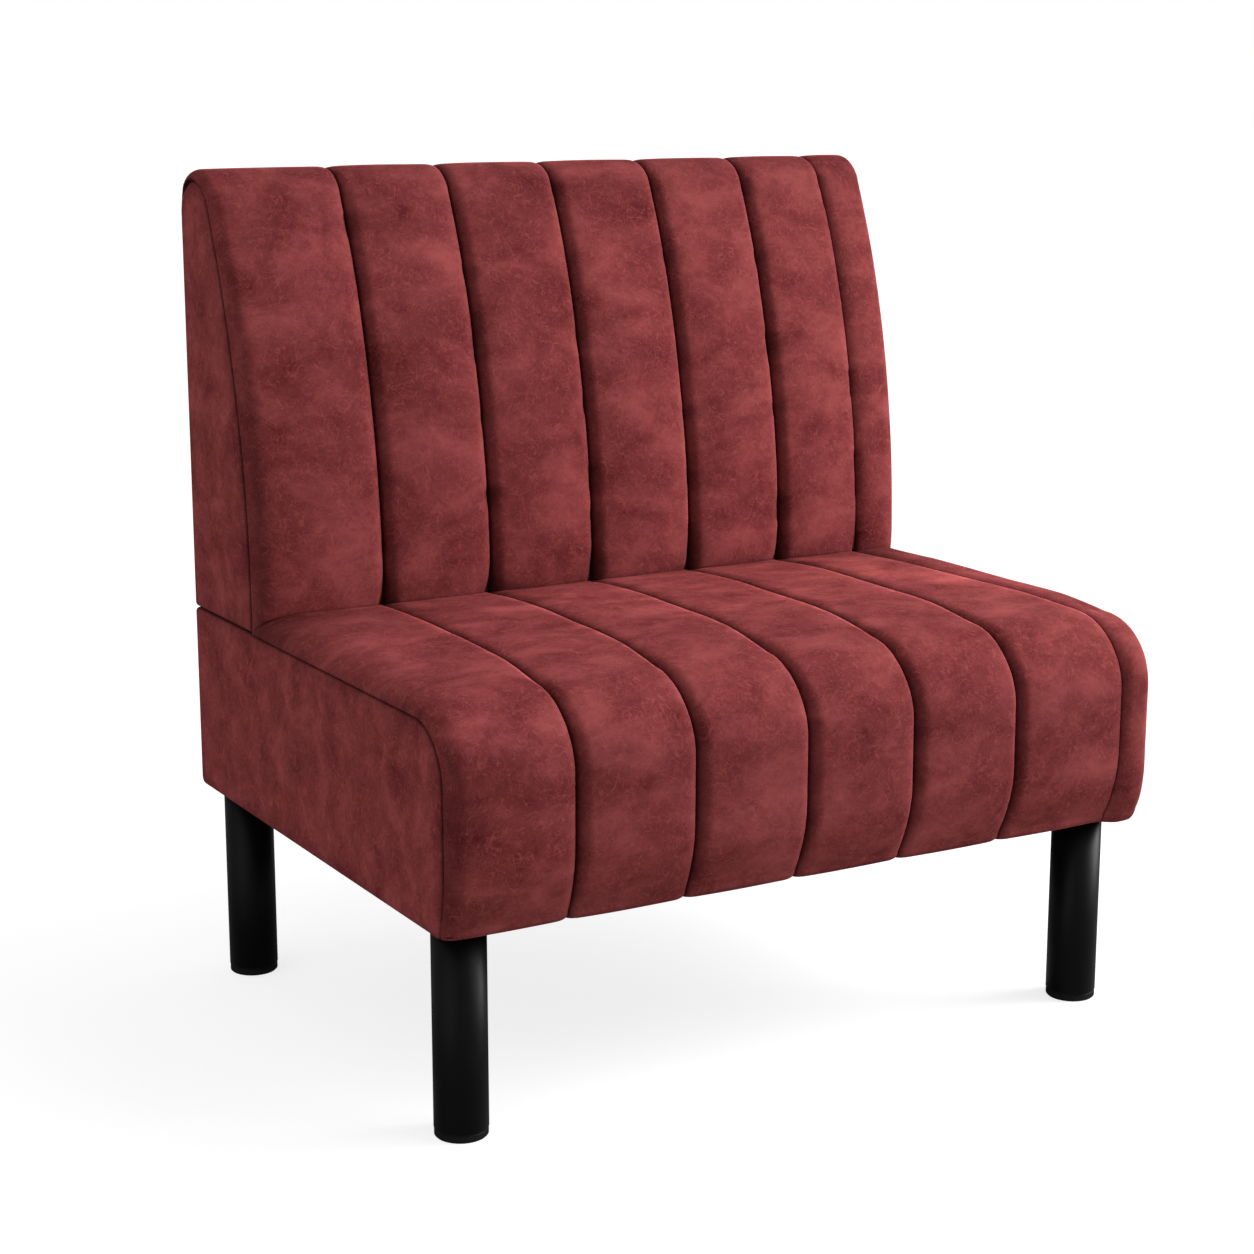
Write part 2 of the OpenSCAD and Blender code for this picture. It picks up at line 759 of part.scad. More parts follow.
module leg_screws() {
    color(zinc)
        for (p = leg_screw_at)
            translate([p[0], p[1], plate_z]) {
                cylinder(d = screw_d, h = screw_l);
                translate([0, 0, -screw_head_h]) cylinder(d = 1.8 * screw_d, h = screw_head_h);
            }
}

// The finned plug in the lower end of a tube, with a pocket for the nut
module leg_plug(p) {
    fin_d = leg_d - 2 * leg_wall - 2 * fit_gap;
    color(black_plastic)
        translate([p[0], p[1], plug_flange_z])
            difference() {
                union() {
                    cylinder(d = leg_d - 2 * groove_depth, h = groove_h);
                    translate([0, 0, groove_h]) cylinder(d = fin_d - 3, h = plug_l);
                    for (f = [0.12, 0.48, 0.84])
                        translate([0, 0, groove_h + f * plug_l]) cylinder(d = fin_d, h = 1.5);
                }
                translate([0, 0, -1]) cylinder(d = stud_d + 2 * foot_gap, h = plug_l + groove_h + 2);
                translate([0, 0, groove_h + plug_l - nut_h])
                    cylinder(d = (nut_af + 2 * fit_gap) / cos(30), h = nut_h + 1, $fn = 6);
            }
}

module plug_front_left() { leg_plug(legs[0]); }
module plug_front_right() { leg_plug(legs[1]); }
module plug_rear_left() { leg_plug(legs[2]); }
module plug_rear_right() { leg_plug(legs[3]); }

module foot_nuts() {
    color(zinc)
        for (p = legs)
            translate([p[0], p[1], tube_z + plug_l - nut_h])
                difference() {
                    cylinder(d = nut_af / cos(30), h = nut_h, $fn = 6);
                    translate([0, 0, -1]) cylinder(d = stud_d + 2 * run_gap, h = nut_h + 2);
                }
}

// Feet: the stud's collar is held inside the ribbed disc
collar_d = 1.8 * stud_d;
collar_h = 3;
collar_z = 3;

module foot_stud(p) {
    color(zinc)
        translate([p[0], p[1], collar_z]) {
            cylinder(d = stud_d, h = glide_h - collar_z + stud_l);
            cylinder(d = collar_d, h = collar_h);
        }
}

module stud_front_left() { foot_stud(legs[0]); }
module stud_front_right() { foot_stud(legs[1]); }
module stud_rear_left() { foot_stud(legs[2]); }
module stud_rear_right() { foot_stud(legs[3]); }

module foot_glide(p) {
    body_r = glide_d / 2 - glide_rib_depth;
    color(black_plastic)
        translate([p[0], p[1], 0])
            difference() {
                union() {
                    rotate_extrude()
                        polygon([[0, 0], [body_r - 1, 0], [body_r, 1], [body_r, glide_h - 0.5],
                            [body_r - 0.5, glide_h], [0, glide_h]]);
                    translate([0, 0, 1.5])
                        linear_extrude(glide_h - 2.5)
                            polygon([for (i = [0:2 * glide_ribs - 1])
                                let (
                                        r = glide_d / 2 - (i % 2) * glide_rib_depth / 2,
                                        a = 180 * i / glide_ribs
                                    )
                                [r * cos(a), r * sin(a)]]);
                }
                translate([0, 0, collar_z - foot_gap])
                    cylinder(d = collar_d + 2 * foot_gap, h = collar_h + 2 * foot_gap);
                translate([0, 0, collar_z]) cylinder(d = stud_d + 2 * run_gap, h = glide_h);
            }
}

module glide_front_left() { foot_glide(legs[0]); }
module glide_front_right() { foot_glide(legs[1]); }
module glide_rear_left() { foot_glide(legs[2]); }
module glide_rear_right() { foot_glide(legs[3]); }

seat_front_rail();
seat_rear_rail();
seat_left_rail();
seat_right_rail();
seat_cross_rails();
seat_corner_blocks();
seat_deck();
deck_screws();
seat_foam();
seat_cover_flutes();
seat_cover_left();
seat_cover_right();
seat_cover_rear();
seat_dust_cover();
back_left_stile();
back_right_stile();
back_mid_ribs();
back_top_rail();
back_bottom_rail();
back_front_panel();
back_rear_panel();
back_foam();
back_cover_flutes();
back_cover_left();
back_cover_right();
back_cover_rear();
back_bracket_left();
back_bracket_right();
bracket_bolts();
bracket_nuts();
leg_front_left();
leg_front_right();
leg_rear_left();
leg_rear_right();
plate_front_left();
plate_front_right();
plate_rear_left();
plate_rear_right();
leg_screws();
plug_front_left();
plug_front_right();
plug_rear_left();
plug_rear_right();
foot_nuts();
stud_front_left();
stud_front_right();
stud_rear_left();
stud_rear_right();
glide_front_left();
glide_front_right();
glide_rear_left();
glide_rear_right();
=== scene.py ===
"""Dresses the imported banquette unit: channelled upholstery, plain panels, black legs and feet.

Everything is in metres in the frame of the CAD model: the origin on the floor under the middle of the
unit, the front towards -Y, +X to the right and +Z up.
"""

import logging
import math
import random
from dataclasses import dataclass, field, replace
from enum import Enum

import bmesh
import bpy
import numpy as np
from mathutils import Matrix, Vector, noise
from mathutils.geometry import delaunay_2d_cdt

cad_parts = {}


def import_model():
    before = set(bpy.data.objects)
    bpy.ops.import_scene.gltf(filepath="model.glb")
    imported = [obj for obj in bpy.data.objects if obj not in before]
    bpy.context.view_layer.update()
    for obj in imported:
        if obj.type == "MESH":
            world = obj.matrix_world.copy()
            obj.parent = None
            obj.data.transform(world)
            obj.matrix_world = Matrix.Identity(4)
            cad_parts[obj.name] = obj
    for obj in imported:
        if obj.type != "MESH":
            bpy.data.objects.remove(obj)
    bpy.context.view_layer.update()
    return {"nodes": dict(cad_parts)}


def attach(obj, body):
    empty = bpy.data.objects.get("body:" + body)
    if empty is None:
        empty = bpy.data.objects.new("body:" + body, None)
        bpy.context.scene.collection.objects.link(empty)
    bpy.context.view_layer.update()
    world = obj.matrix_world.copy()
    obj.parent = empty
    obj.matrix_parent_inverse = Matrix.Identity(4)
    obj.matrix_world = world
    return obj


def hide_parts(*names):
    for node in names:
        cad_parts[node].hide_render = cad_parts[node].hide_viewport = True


LOG = logging.getLogger("banquette")
MM = 0.001
BENCH = "bench"

Array = np.ndarray
Colour = tuple[float, float, float, float]
Point = tuple[float, float]
Place = tuple[float, float, float]
Stops = list[tuple[float, Colour]]
Material = bpy.types.Material
Tree = bpy.types.NodeTree
Node = bpy.types.Node
Piece = bpy.types.Object


class Side(Enum):
    """Left or right half of the unit, with the sign of its X."""

    LEFT = -1
    RIGHT = 1


class Corner(Enum):
    """One of the four legs, with the leg's place in X and Y."""

    FRONT_LEFT = (-0.419, -0.2825)
    FRONT_RIGHT = (0.419, -0.2825)
    REAR_LEFT = (-0.419, 0.3075)
    REAR_RIGHT = (0.419, 0.3075)

    @property
    def suffix(self) -> str:
        """The corner as it stands in the names of nodes and bodies."""
        return self.name.lower()


def srgb(hex_code: str) -> Colour:
    """Turns an sRGB hex colour into the linear colour that shaders take.

    Args:
        hex_code: The colour, such as "#7a3438".

    Returns:
        Linear red, green and blue, and an alpha of 1.
    """
    channels = [int(hex_code[i : i + 2], 16) / 255 for i in (1, 3, 5)]
    linear = [c / 12.92 if c <= 0.04045 else ((c + 0.055) / 1.055) ** 2.4 for c in channels]
    return (linear[0], linear[1], linear[2], 1.0)


def grey(value: float) -> Colour:
    """An opaque linear grey."""
    return (value, value, value, 1.0)


def per_metre(size_mm: float) -> float:
    """Texture scale at which one feature is about this many millimetres across."""
    return 1000.0 / size_mm


def add_node(tree: Tree, kind: str, settings: dict | None = None, links: dict | None = None) -> Node:
    """Adds a shader node with its settings and its incoming links.

    Args:
        tree: The node tree.
        kind: The node's type after "ShaderNode", such as "TexNoise".
        settings: Values by input name, input number or attribute name; "ramp" holds a colour ramp's stops.
        links: (node, output) by input name or number.

    Returns:
        The new node.
    """
    node = tree.nodes.new(f"ShaderNode{kind}")
    for key, value in (settings or {}).items():
        if key == "ramp":
            elements = node.color_ramp.elements
            while len(elements) < len(value):
                elements.new(1.0)
            for element, (position, colour) in zip(elements, value):
                element.position, element.color = position, colour
        elif isinstance(key, int) or key in node.inputs:
            node.inputs[key].default_value = value
        else:
            setattr(node, key, value)
    for key, (source, output) in (links or {}).items():
        tree.links.new(source.outputs[output], node.inputs[key])
    return node


def start_material(name: str) -> tuple[Material, Tree, Node]:
    """Makes a material that holds only texture coordinates.

    Args:
        name: The material's name.

    Returns:
        The material, its node tree and the coordinates' node.
    """
    material = bpy.data.materials.new(name)
    material.use_nodes = True
    material.node_tree.nodes.clear()
    return material, material.node_tree, add_node(material.node_tree, "TexCoord")


def pattern(
    tree: Tree, place: tuple[Node, str], size_mm: float, settings: dict, stops: Stops
) -> tuple[Node, Node]:
    """Adds a noise of a real size with the colours that it runs through.

    Args:
        tree: The node tree.
        place: Node and output that give the coordinates.
        size_mm: Size of one feature.
        settings: The noise's other settings.
        stops: Places and colours of the ramp.

    Returns:
        The noise and the ramp.
    """
    cloud = add_node(tree, "TexNoise", {"Scale": per_metre(size_mm), **settings}, {"Vector": place})
    return cloud, add_node(tree, "ValToRGB", {"ramp": stops}, {"Fac": (cloud, "Fac")})


def close_material(
    tree: Tree, settings: dict, links: dict, height: tuple[Node, str], strength: float, depth_mm: float
) -> None:
    """Adds the fine relief of a surface, its shader and the material's output.

    Args:
        tree: The node tree.
        settings: The shader's settings.
        links: The shader's incoming links.
        height: Node and output that give the relief.
        strength: Strength of the relief.
        depth_mm: Depth of the relief.
    """
    bump = add_node(tree, "Bump", {"Strength": strength, "Distance": depth_mm * MM}, {"Height": height})
    shader = add_node(tree, "BsdfPrincipled", settings, {**links, "Normal": (bump, "Normal")})
    add_node(tree, "OutputMaterial", None, {"Surface": (shader, "BSDF")})


def camera_sees(tree: Tree) -> Node:
    """Adds nodes whose value is 1 for what the camera sees, also through glass, and 0 for other light.

    Args:
        tree: The node tree.

    Returns:
        The node that holds the value.
    """
    rays = add_node(tree, "LightPath")
    links = {0: (rays, "Is Camera Ray"), 1: (rays, "Is Transmission Ray")}
    return add_node(tree, "Math", {"operation": "MAXIMUM"}, links)


@dataclass(frozen=True)
class NappedSuede:
    """Burgundy microfibre suede, brushed after weaving.

    The brushed nap gives cloudy light and dark patches, short fibres that catch light and no gloss.
    The colour also carries a painted sheen, darker where the cloth faces the eye and paler where it
    turns away, and painted shade in the seams and over wide areas.
    """

    name: str = "napped_suede"
    dark: str = "#5a1c20"
    mid: str = "#7d3637"
    light: str = "#9e4c4c"
    wisp: str = "#aa5351"
    sheen: str = "#c96f6b"
    cloud_mm: float = 54.0
    # Clouds are longer across the unit than up and down: X counts for this share.
    cloud_x: float = 0.72
    pile_mm: float = 7.0
    pile_share: float = 0.30
    # How far from the pattern's middle the dark and the light colour stand.
    tone_spread: float = 0.27
    # Real fibres are some 0.1 mm thick; these are as coarse as the render can show.
    curl_mm: float = 15.0
    # Half the width of the noise's band that shows as a fibre.
    fibre_half: float = 0.04
    wisp_share: float = 0.52
    grain_mm: float = 1.5
    # Painted sheen: brightness multiplied into the colour by how far the cloth turns away, face on, along
    # the back, along the sides, along the seat, near a rim and edge on; the last two paint a bright rim.
    face_on: float = 0.78
    back_on: float = 1.08
    slanted: float = 1.1
    turned: float = 1.17
    rim: float = 2.3
    edge_on: float = 3.5
    # A ramp's colours end at 1, so brightness is divided by this in the ramp and multiplied after it.
    brightest: float = 4.0
    # Share of the brightness that the painted shade leaves in the depth of a seam.
    seam_shade: float = 0.16

    def wisps(self, tree: Tree, place: Node) -> Node:
        """Adds thin curled fibres: the narrow band about the middle of a twisted noise.

        Args:
            tree: The node tree.
            place: Texture coordinates.

        Returns:
            A node whose value is the share of a fibre.
        """
        fibre = [(0.5 - self.fibre_half, grey(0)), (0.5, grey(1)), (0.5 + self.fibre_half, grey(0))]
        patches = [(0.38, grey(0)), (0.62, grey(self.wisp_share))]
        densest = None
        # Three layers of longer and longer fibres, shifted so that they don't line up.
        for scale, shift in ((1.0, 0.0), (1.4, 4.7), (2.0, 8.3)):
            apart = {"Location": (shift, shift, shift)}
            moved = add_node(tree, "Mapping", apart, {"Vector": (place, "Object")})
            at, twisted = (moved, "Vector"), {"Detail": 0.0, "Distortion": 3.0}
            _, band = pattern(tree, at, scale * self.curl_mm, twisted, fibre)
            _, some = pattern(tree, at, 0.9 * self.curl_mm, {"Detail": 2.0}, patches)
            links = {0: (band, "Color"), 1: (some, "Color")}
            layer = add_node(tree, "Math", {"operation": "MULTIPLY"}, links)
            if densest is not None:
                links = {0: (densest, "Value"), 1: (layer, "Value")}
                layer = add_node(tree, "Math", {"operation": "MAXIMUM"}, links)
            densest = layer
        return densest

    def nap(self, tree: Tree, place: Node) -> Node:
        """Adds the cloudy colour of the nap with its fibres.

        Args:
            tree: The node tree.
            place: Texture coordinates.

        Returns:
            The node whose third output is the colour.
        """
        drawn_out = {"Scale": (self.cloud_x, 1.0, 1.0)}
        brushed = add_node(tree, "Mapping", drawn_out, {"Vector": (place, "Object")})
        cloud = add_node(
            tree,
            "TexNoise",
            {"Scale": per_metre(self.cloud_mm), "Detail": 5.0, "Roughness": 0.63, "Distortion": 0.4},
            {"Vector": (brushed, "Vector")},
        )
        pile = add_node(
            tree,
            "TexNoise",
            {"Scale": per_metre(self.pile_mm), "Detail": 4.0, "Roughness": 0.7, "Distortion": 1.2},
            {"Vector": (place, "Object")},
        )
        both = add_node(
            tree,
            "Math",
            {"operation": "MULTIPLY_ADD", 1: self.pile_share},
            {0: (pile, "Fac"), 2: (cloud, "Fac")},
        )
        middle = 0.5 + self.pile_share / 2
        stops = [
            (middle - self.tone_spread, srgb(self.dark)),
            (middle, srgb(self.mid)),
            (middle + self.tone_spread, srgb(self.light)),
        ]
        tone = add_node(tree, "ValToRGB", {"ramp": stops}, {"Fac": (both, "Value")})
        links = {0: (self.wisps(tree, place), "Value"), 6: (tone, "Color")}
        return add_node(tree, "Mix", {"data_type": "RGBA", 7: srgb(self.wisp)}, links)

    def brightness(self, tree: Tree) -> Node:
        """Adds the painted sheen, by how far the cloth turns away, and the painted shade in seams and over
        wide areas.

        Args:
            tree: The node tree.

        Returns:
            A node whose value is the brightness.
        """
        steps = (
            (0.0, self.face_on),
            (0.16, self.back_on),
            (0.5, self.slanted),
            (0.78, self.turned),
            (0.90, self.rim),
            (1.0, self.edge_on),
        )
        stops = [(turn, grey(value / self.brightest)) for turn, value in steps]
        facing = add_node(tree, "LayerWeight", {"Blend": 0.5})
        painted_sheen = add_node(tree, "ValToRGB", {"ramp": stops}, {"Fac": (facing, "Facing")})
        # Each point's share of painted shade, as stored on the mesh, darkens the colour.
        crease = add_node(tree, "Attribute", {"attribute_name": "crease"})
        range_of_shade = {"To Min": self.brightest, "To Max": self.brightest * self.seam_shade}
        shade = add_node(tree, "MapRange", {"clamp": False, **range_of_shade}, {"Value": (crease, "Fac")})
        links = {0: (painted_sheen, "Color"), 1: (shade, "Result")}
        return add_node(tree, "Math", {"operation": "MULTIPLY"}, links)

    def material(self) -> Material:
        """Builds the node tree.

        Returns:
            The material.
        """
        material, tree, place = start_material(self.name)
        links = {0: (self.nap(tree, place), 2), "Scale": (self.brightness(tree), "Value")}
        colour = add_node(tree, "VectorMath", {"operation": "SCALE"}, links)
        grain = add_node(
            tree,
            "TexNoise",
            {"Scale": per_metre(self.grain_mm), "Detail": 3.0, "Roughness": 0.7},
            {"Vector": (place, "Object")},
        )
        settings = {
            "Roughness": 0.95,
            "Specular IOR Level": 0.06,
            "Sheen Weight": 0.04,
            "Sheen Roughness": 0.5,
            "Sheen Tint": srgb(self.sheen),
        }
        links = {"Base Color": (colour, "Vector")}
        close_material(tree, settings, links, (grain, "Fac"), strength=0.4, depth_mm=0.45)
        return material


@dataclass(frozen=True)
class PowderCoat:
    """Satin black polyester powder, sprayed and baked on steel.

    It flows out to a fine orange peel, so highlights are soft and slightly broken.
    """

    name: str = "powder_coat"
    colour: str = "#070707"
    worn: str = "#0c0c0c"
    roughness: float = 0.40
    shine: float = 0.12
    peel_mm: float = 1.4
    handled_mm: float = 45.0

    def material(self) -> Material:
        """Builds the node tree.

        Returns:
            The material.
        """
        material, tree, place = start_material(self.name)
        at = (place, "Object")
        peel = add_node(tree, "TexNoise", {"Scale": per_metre(self.peel_mm), "Detail": 2.0}, {"Vector": at})
        stops = [(0.3, srgb(self.colour)), (0.8, srgb(self.worn))]
        handled, tone = pattern(tree, at, self.handled_mm, {"Detail": 4.0, "Roughness": 0.6}, stops)
        gloss = add_node(
            tree,
            "MapRange",
            {"To Min": self.roughness - 0.06, "To Max": self.roughness + 0.08},
            {"Value": (handled, "Fac")},
        )
        settings = {"IOR": 1.5, "Specular IOR Level": self.shine}
        links = {"Base Color": (tone, "Color"), "Roughness": (gloss, "Result")}
        close_material(tree, settings, links, (peel, "Fac"), strength=0.12, depth_mm=0.2)
        return material


@dataclass(frozen=True)
class MouldedNylon:
    """Black nylon, injection moulded in an eroded tool, which leaves a dull fine grain."""

    name: str = "moulded_nylon"
    colour: str = "#0e0e0e"
    scuffed: str = "#1c1c1c"
    grain_mm: float = 0.8
    scuff_mm: float = 12.0

    def material(self) -> Material:
        """Builds the node tree.

        Returns:
            The material.
        """
        material, tree, place = start_material(self.name)
        at = (place, "Object")
        grain = add_node(tree, "TexNoise", {"Scale": per_metre(self.grain_mm), "Detail": 3.0}, {"Vector": at})
        stops = [(0.4, srgb(self.colour)), (0.85, srgb(self.scuffed))]
        _, tone = pattern(tree, at, self.scuff_mm, {"Detail": 5.0, "Roughness": 0.7}, stops)
        settings = {"Roughness": 0.58, "IOR": 1.53, "Specular IOR Level": 0.2}
        links = {"Base Color": (tone, "Color")}
        close_material(tree, settings, links, (grain, "Fac"), strength=0.25, depth_mm=0.15)
        return material


@dataclass(frozen=True)
class ZincPlate:
    """Bright zinc electroplate on steel: a pale metal with cloudy patches and a soft shine."""

    name: str = "zinc_plate"
    colour: str = "#c3c8cc"
    dull: str = "#a9aeb2"
    cloud_mm: float = 9.0

    def material(self) -> Material:
        """Builds the node tree.

        Returns:
            The material.
        """
        material, tree, place = start_material(self.name)
        stops = [(0.3, srgb(self.dull)), (0.7, srgb(self.colour))]
        cloud, tone = pattern(tree, (place, "Object"), self.cloud_mm, {"Detail": 4.0}, stops)
        gloss = add_node(tree, "MapRange", {"To Min": 0.28, "To Max": 0.46}, {"Value": (cloud, "Fac")})
        links = {"Base Color": (tone, "Color"), "Roughness": (gloss, "Result")}
        shader = add_node(tree, "BsdfPrincipled", {"Metallic": 1.0}, links)
        add_node(tree, "OutputMaterial", None, {"Surface": (shader, "BSDF")})
        return material


@dataclass(frozen=True)
class SawnWood:
    """Planed timber or peeled veneer: long grain along one axis, pores as fine dark dashes."""

    name: str
    pale: str
    brown: str
    grain_mm: float
    # Share for which each axis counts; the grain runs along the smallest.
    stretch: Place

    def material(self) -> Material:
        """Builds the node tree.

        Returns:
            The material.
        """
        material, tree, place = start_material(self.name)
        along = add_node(tree, "Mapping", {"Scale": self.stretch}, {"Vector": (place, "Object")})
        at, knotty = (along, "Vector"), {"Detail": 5.0, "Roughness": 0.6, "Distortion": 0.8}
        stops = [(0.3, srgb(self.brown)), (0.65, srgb(self.pale))]
        grain, tone = pattern(tree, at, self.grain_mm, knotty, stops)
        stops = [(0.62, grey(0)), (0.7, grey(0.35))]
        _, pores = pattern(tree, at, self.grain_mm / 6, {"Detail": 2.0}, stops)
        links = {0: (pores, "Color"), 6: (tone, "Color")}
        colour = add_node(tree, "Mix", {"data_type": "RGBA", 7: srgb(self.brown)}, links)
        settings, links = {"Roughness": 0.62}, {"Base Color": (colour, 2)}
        close_material(tree, settings, links, (grain, "Fac"), strength=0.2, depth_mm=0.3)
        return material


@dataclass(frozen=True)
class SpunLining:
    """Black spun-bonded polypropylene: thin felted cloth with a pressed pattern of small dots."""

    name: str = "spun_lining"
    colour: str = "#1c1c1d"
    thin: str = "#2f2f31"
    felt_mm: float = 6.0
    # The pressed dots are 1 mm apart on real cloth and are drawn at 3 mm so that they show.
    dot_mm: float = 3.0

    def material(self) -> Material:
        """Builds the node tree.

        Returns:
            The material.
        """
        material, tree, place = start_material(self.name)
        at = (place, "Object")
        pressed = {"Scale": per_metre(self.dot_mm), "Randomness": 0.15}
        dots = add_node(tree, "TexVoronoi", pressed, {"Vector": at})
        stops = [(0.35, srgb(self.colour)), (0.75, srgb(self.thin))]
        _, tone = pattern(tree, at, self.felt_mm, {"Detail": 5.0, "Distortion": 1.5}, stops)
        settings = {"Roughness": 0.85, "Sheen Weight": 0.15}
        links = {"Base Color": (tone, "Color")}
        close_material(tree, settings, links, (dots, "Distance"), strength=0.4, depth_mm=0.3)
        return material


@dataclass(frozen=True)
class StudioPaper:
    """Matt white paper floor: the camera sees it near white, and it keeps a light shadow.

    To the camera most of its white is its own, so a shadow only dims the rest of it.
    """

    name: str = "studio_paper"
    colour: str = "#9c9c9c"
    shadow_share: float = 0.45
    # Brightness, under the lamps of this studio, from which the paper shows as white.
    open_light: float = 0.55

    def material(self) -> Material:
        """Builds the node tree.

        Returns:
            The material.
        """
        material, tree, _ = start_material(self.name)
        seen = camera_sees(tree)
        own_light = 1 - self.shadow_share * self.open_light
        glow = add_node(tree, "Math", {"operation": "MULTIPLY", 1: own_light}, {0: (seen, "Value")})
        shown = add_node(
            tree,
            "Mix",
            {"data_type": "RGBA", 6: srgb(self.colour), 7: grey(self.shadow_share)},
            {0: (seen, "Value")},
        )
        paper = add_node(tree, "BsdfDiffuse", None, {"Color": (shown, 2)})
        light = add_node(tree, "Emission", None, {"Strength": (glow, "Value")})
        both = add_node(tree, "AddShader", None, {0: (paper, "BSDF"), 1: (light, "Emission")})
        add_node(tree, "OutputMaterial", None, {"Surface": (both, "Shader")})
        return material


# A paler copy of the suede for the side panels: more painted sheen as they slant away, which paints
# light onto sides that the lamps leave dim.
PAINTED_LIGHT_SIDE_SUEDE = NappedSuede("napped_suede_side_painted_light", face_on=0.85, slanted=1.30, turned=1.34)
# The rails lie along X or Y and so does their grain; the veneer's grain runs along X.
BEECH = SawnWood("planed_beech", "#d9b88c", "#b98d5e", 5.0, (0.12, 0.12, 1.0))
BIRCH = SawnWood("birch_veneer", "#dcc29a", "#c09a68", 9.0, (0.1, 1.0, 0.6))


@dataclass
class Finishes:
    """Every finish of the unit, built once."""

    suede: Material = field(default_factory=NappedSuede().material)
    side_suede_painted_light: Material = field(default_factory=PAINTED_LIGHT_SIDE_SUEDE.material)
    powder: Material = field(default_factory=PowderCoat().material)
    nylon: Material = field(default_factory=MouldedNylon().material)
    zinc: Material = field(default_factory=ZincPlate().material)
    lining: Material = field(default_factory=SpunLining().material)
    beech: Material = field(default_factory=BEECH.material)
    birch: Material = field(default_factory=BIRCH.material)


def make_piece(
    name: str,
    verts: Array,
    faces: list,
    material: Material,
    body: str = BENCH,
    crease: Array | None = None,
    smooth: bool = True,
) -> Piece:
    """Makes a mesh object that rides on a body.

    Args:
        name: The piece's name.
        verts: Points, one row each, in metres.
        faces: Vertex numbers of each face.
        material: The finish.
        body: The CAD body that carries the piece.
        crease: For each point, its share of painted shade, from 0 to 1.
        smooth: Whether faces are shaded smooth.

    Returns:
        The new object.
    """
    mesh = bpy.data.meshes.new(name)
    mesh.from_pydata([tuple(map(float, v)) for v in verts], [], faces)
    mesh.validate()
    mesh.update()
    # The painted shade is kept on the mesh as a point attribute that the suede reads.
    if crease is not None:
        layer = mesh.attributes.new("crease", "FLOAT", "POINT")
        layer.data.foreach_set("value", np.asarray(crease, np.float32))
    mesh.polygons.foreach_set("use_smooth", [smooth] * len(mesh.polygons))
    mesh.materials.append(material)
    piece = bpy.data.objects.new(name, mesh)
    bpy.context.scene.collection.objects.link(piece)
    tidy = bmesh.new()
    tidy.from_mesh(mesh)
    bmesh.ops.recalc_face_normals(tidy, faces=tidy.faces)
    tidy.to_mesh(mesh)
    tidy.free()
    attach(piece, body)
    LOG.info("made %s on %s: %d points", name, body, len(verts))
    return piece


def closed_shell(outer: Array, inner: Array) -> tuple[Array, list]:
    """Joins two grids of the same size into one closed skin.

    Args:
        outer: Rows by columns of points on the outside.
        inner: The matching points on the inside.

    Returns:
        Points and faces.
    """
    rows, cols = outer.shape[:2]
    verts = np.concatenate([outer.reshape(-1, 3), inner.reshape(-1, 3)])
    at = np.arange(rows * cols).reshape(rows, cols)
    under = at + rows * cols
    faces = []
    for grid, turn in ((at, False), (under, True)):
        quads = np.stack([grid[:-1, :-1], grid[:-1, 1:], grid[1:, 1:], grid[1:, :-1]], axis=-1).reshape(-1, 4)
        faces += (quads[:, ::-1] if turn else quads).tolist()
    rim = np.concatenate([at[0, :-1], at[:-1, -1], at[-1, :0:-1], at[:0:-1, 0]])
    low = rim + rows * cols
    for i in range(len(rim)):
        j = (i + 1) % len(rim)
        faces.append([int(rim[j]), int(rim[i]), int(low[i]), int(low[j])])
    return verts, faces


def dress(node: Piece, material: Material) -> None:
    """Gives a CAD node its finish.

    Args:
        node: The CAD node.
        material: The finish.
    """
    node.data.materials.clear()
    node.data.materials.append(material)
    LOG.info("dressed %s with %s", node.name, material.name)


def unit(values: Array | float) -> Array | float:
    """Limits values to the range from 0 to 1."""
    return np.clip(values, 0, 1)


def smooth_step(value: float) -> float:
    """Rises from 0 to 1 as the value does, with a gentle start and end."""
    t = unit(value)
    return t * t * (3 - 2 * t)


def waves(points: Array, size: float, seed: float) -> Array:
    """Smooth noise from -1 to 1 at each point.

    Args:
        points: Points, one row each.
        size: Size of one wave in metres.
        seed: Shifts the pattern.

    Returns:
        One value for each point.
    """
    # Seeds move the pattern in a slanting direction, so that no two of them line up.
    shift = Vector((seed, 1.7 * seed, -0.6 * seed))
    return np.array([noise.noise(Vector(p) / size + shift) for p in points])


@dataclass(frozen=True)
class Sizes:
    """Driving dimensions of the unit, as the CAD model has them."""

    half_width: float = 0.460
    front_y: float = -0.3355
    rear_y: float = 0.3565
    foot_y: float = 0.1715
    seat_z: float = 0.466
    back_z: float = 0.4665
    frame_z: float = 0.245
    hem_z: float = 0.2405
    side_thickness: float = 0.003
    rear_thickness: float = 0.002


SIZES = Sizes()


@dataclass(frozen=True)
class Station:
    """A point of a side seam line, with its outward normal and how the channels stand there.

    share is the part of the crown that is left, flush how far the seams are filled, lip how far the
    cover's ends roll over the side panels, tight how far the ends' shoulders are narrowed, ample how
    far the left one is widened, fan how far the seams stand at their places in front, dome
    the share of the seat's dome, drift how far the seams run to the left at the seat's lower edge, and
    ease the share of its height that the last channel loses at its outer side.
    """

    y: float
    z: float
    ny: float
    nz: float
    share: float
    flush: float = 0.0
    lip: float = 0.0
    tight: float = 0.0
    ample: float = 0.0
    fan: float = 0.0
    dome: float = 0.0
    drift: float = 0.0
    ease: float = 0.0


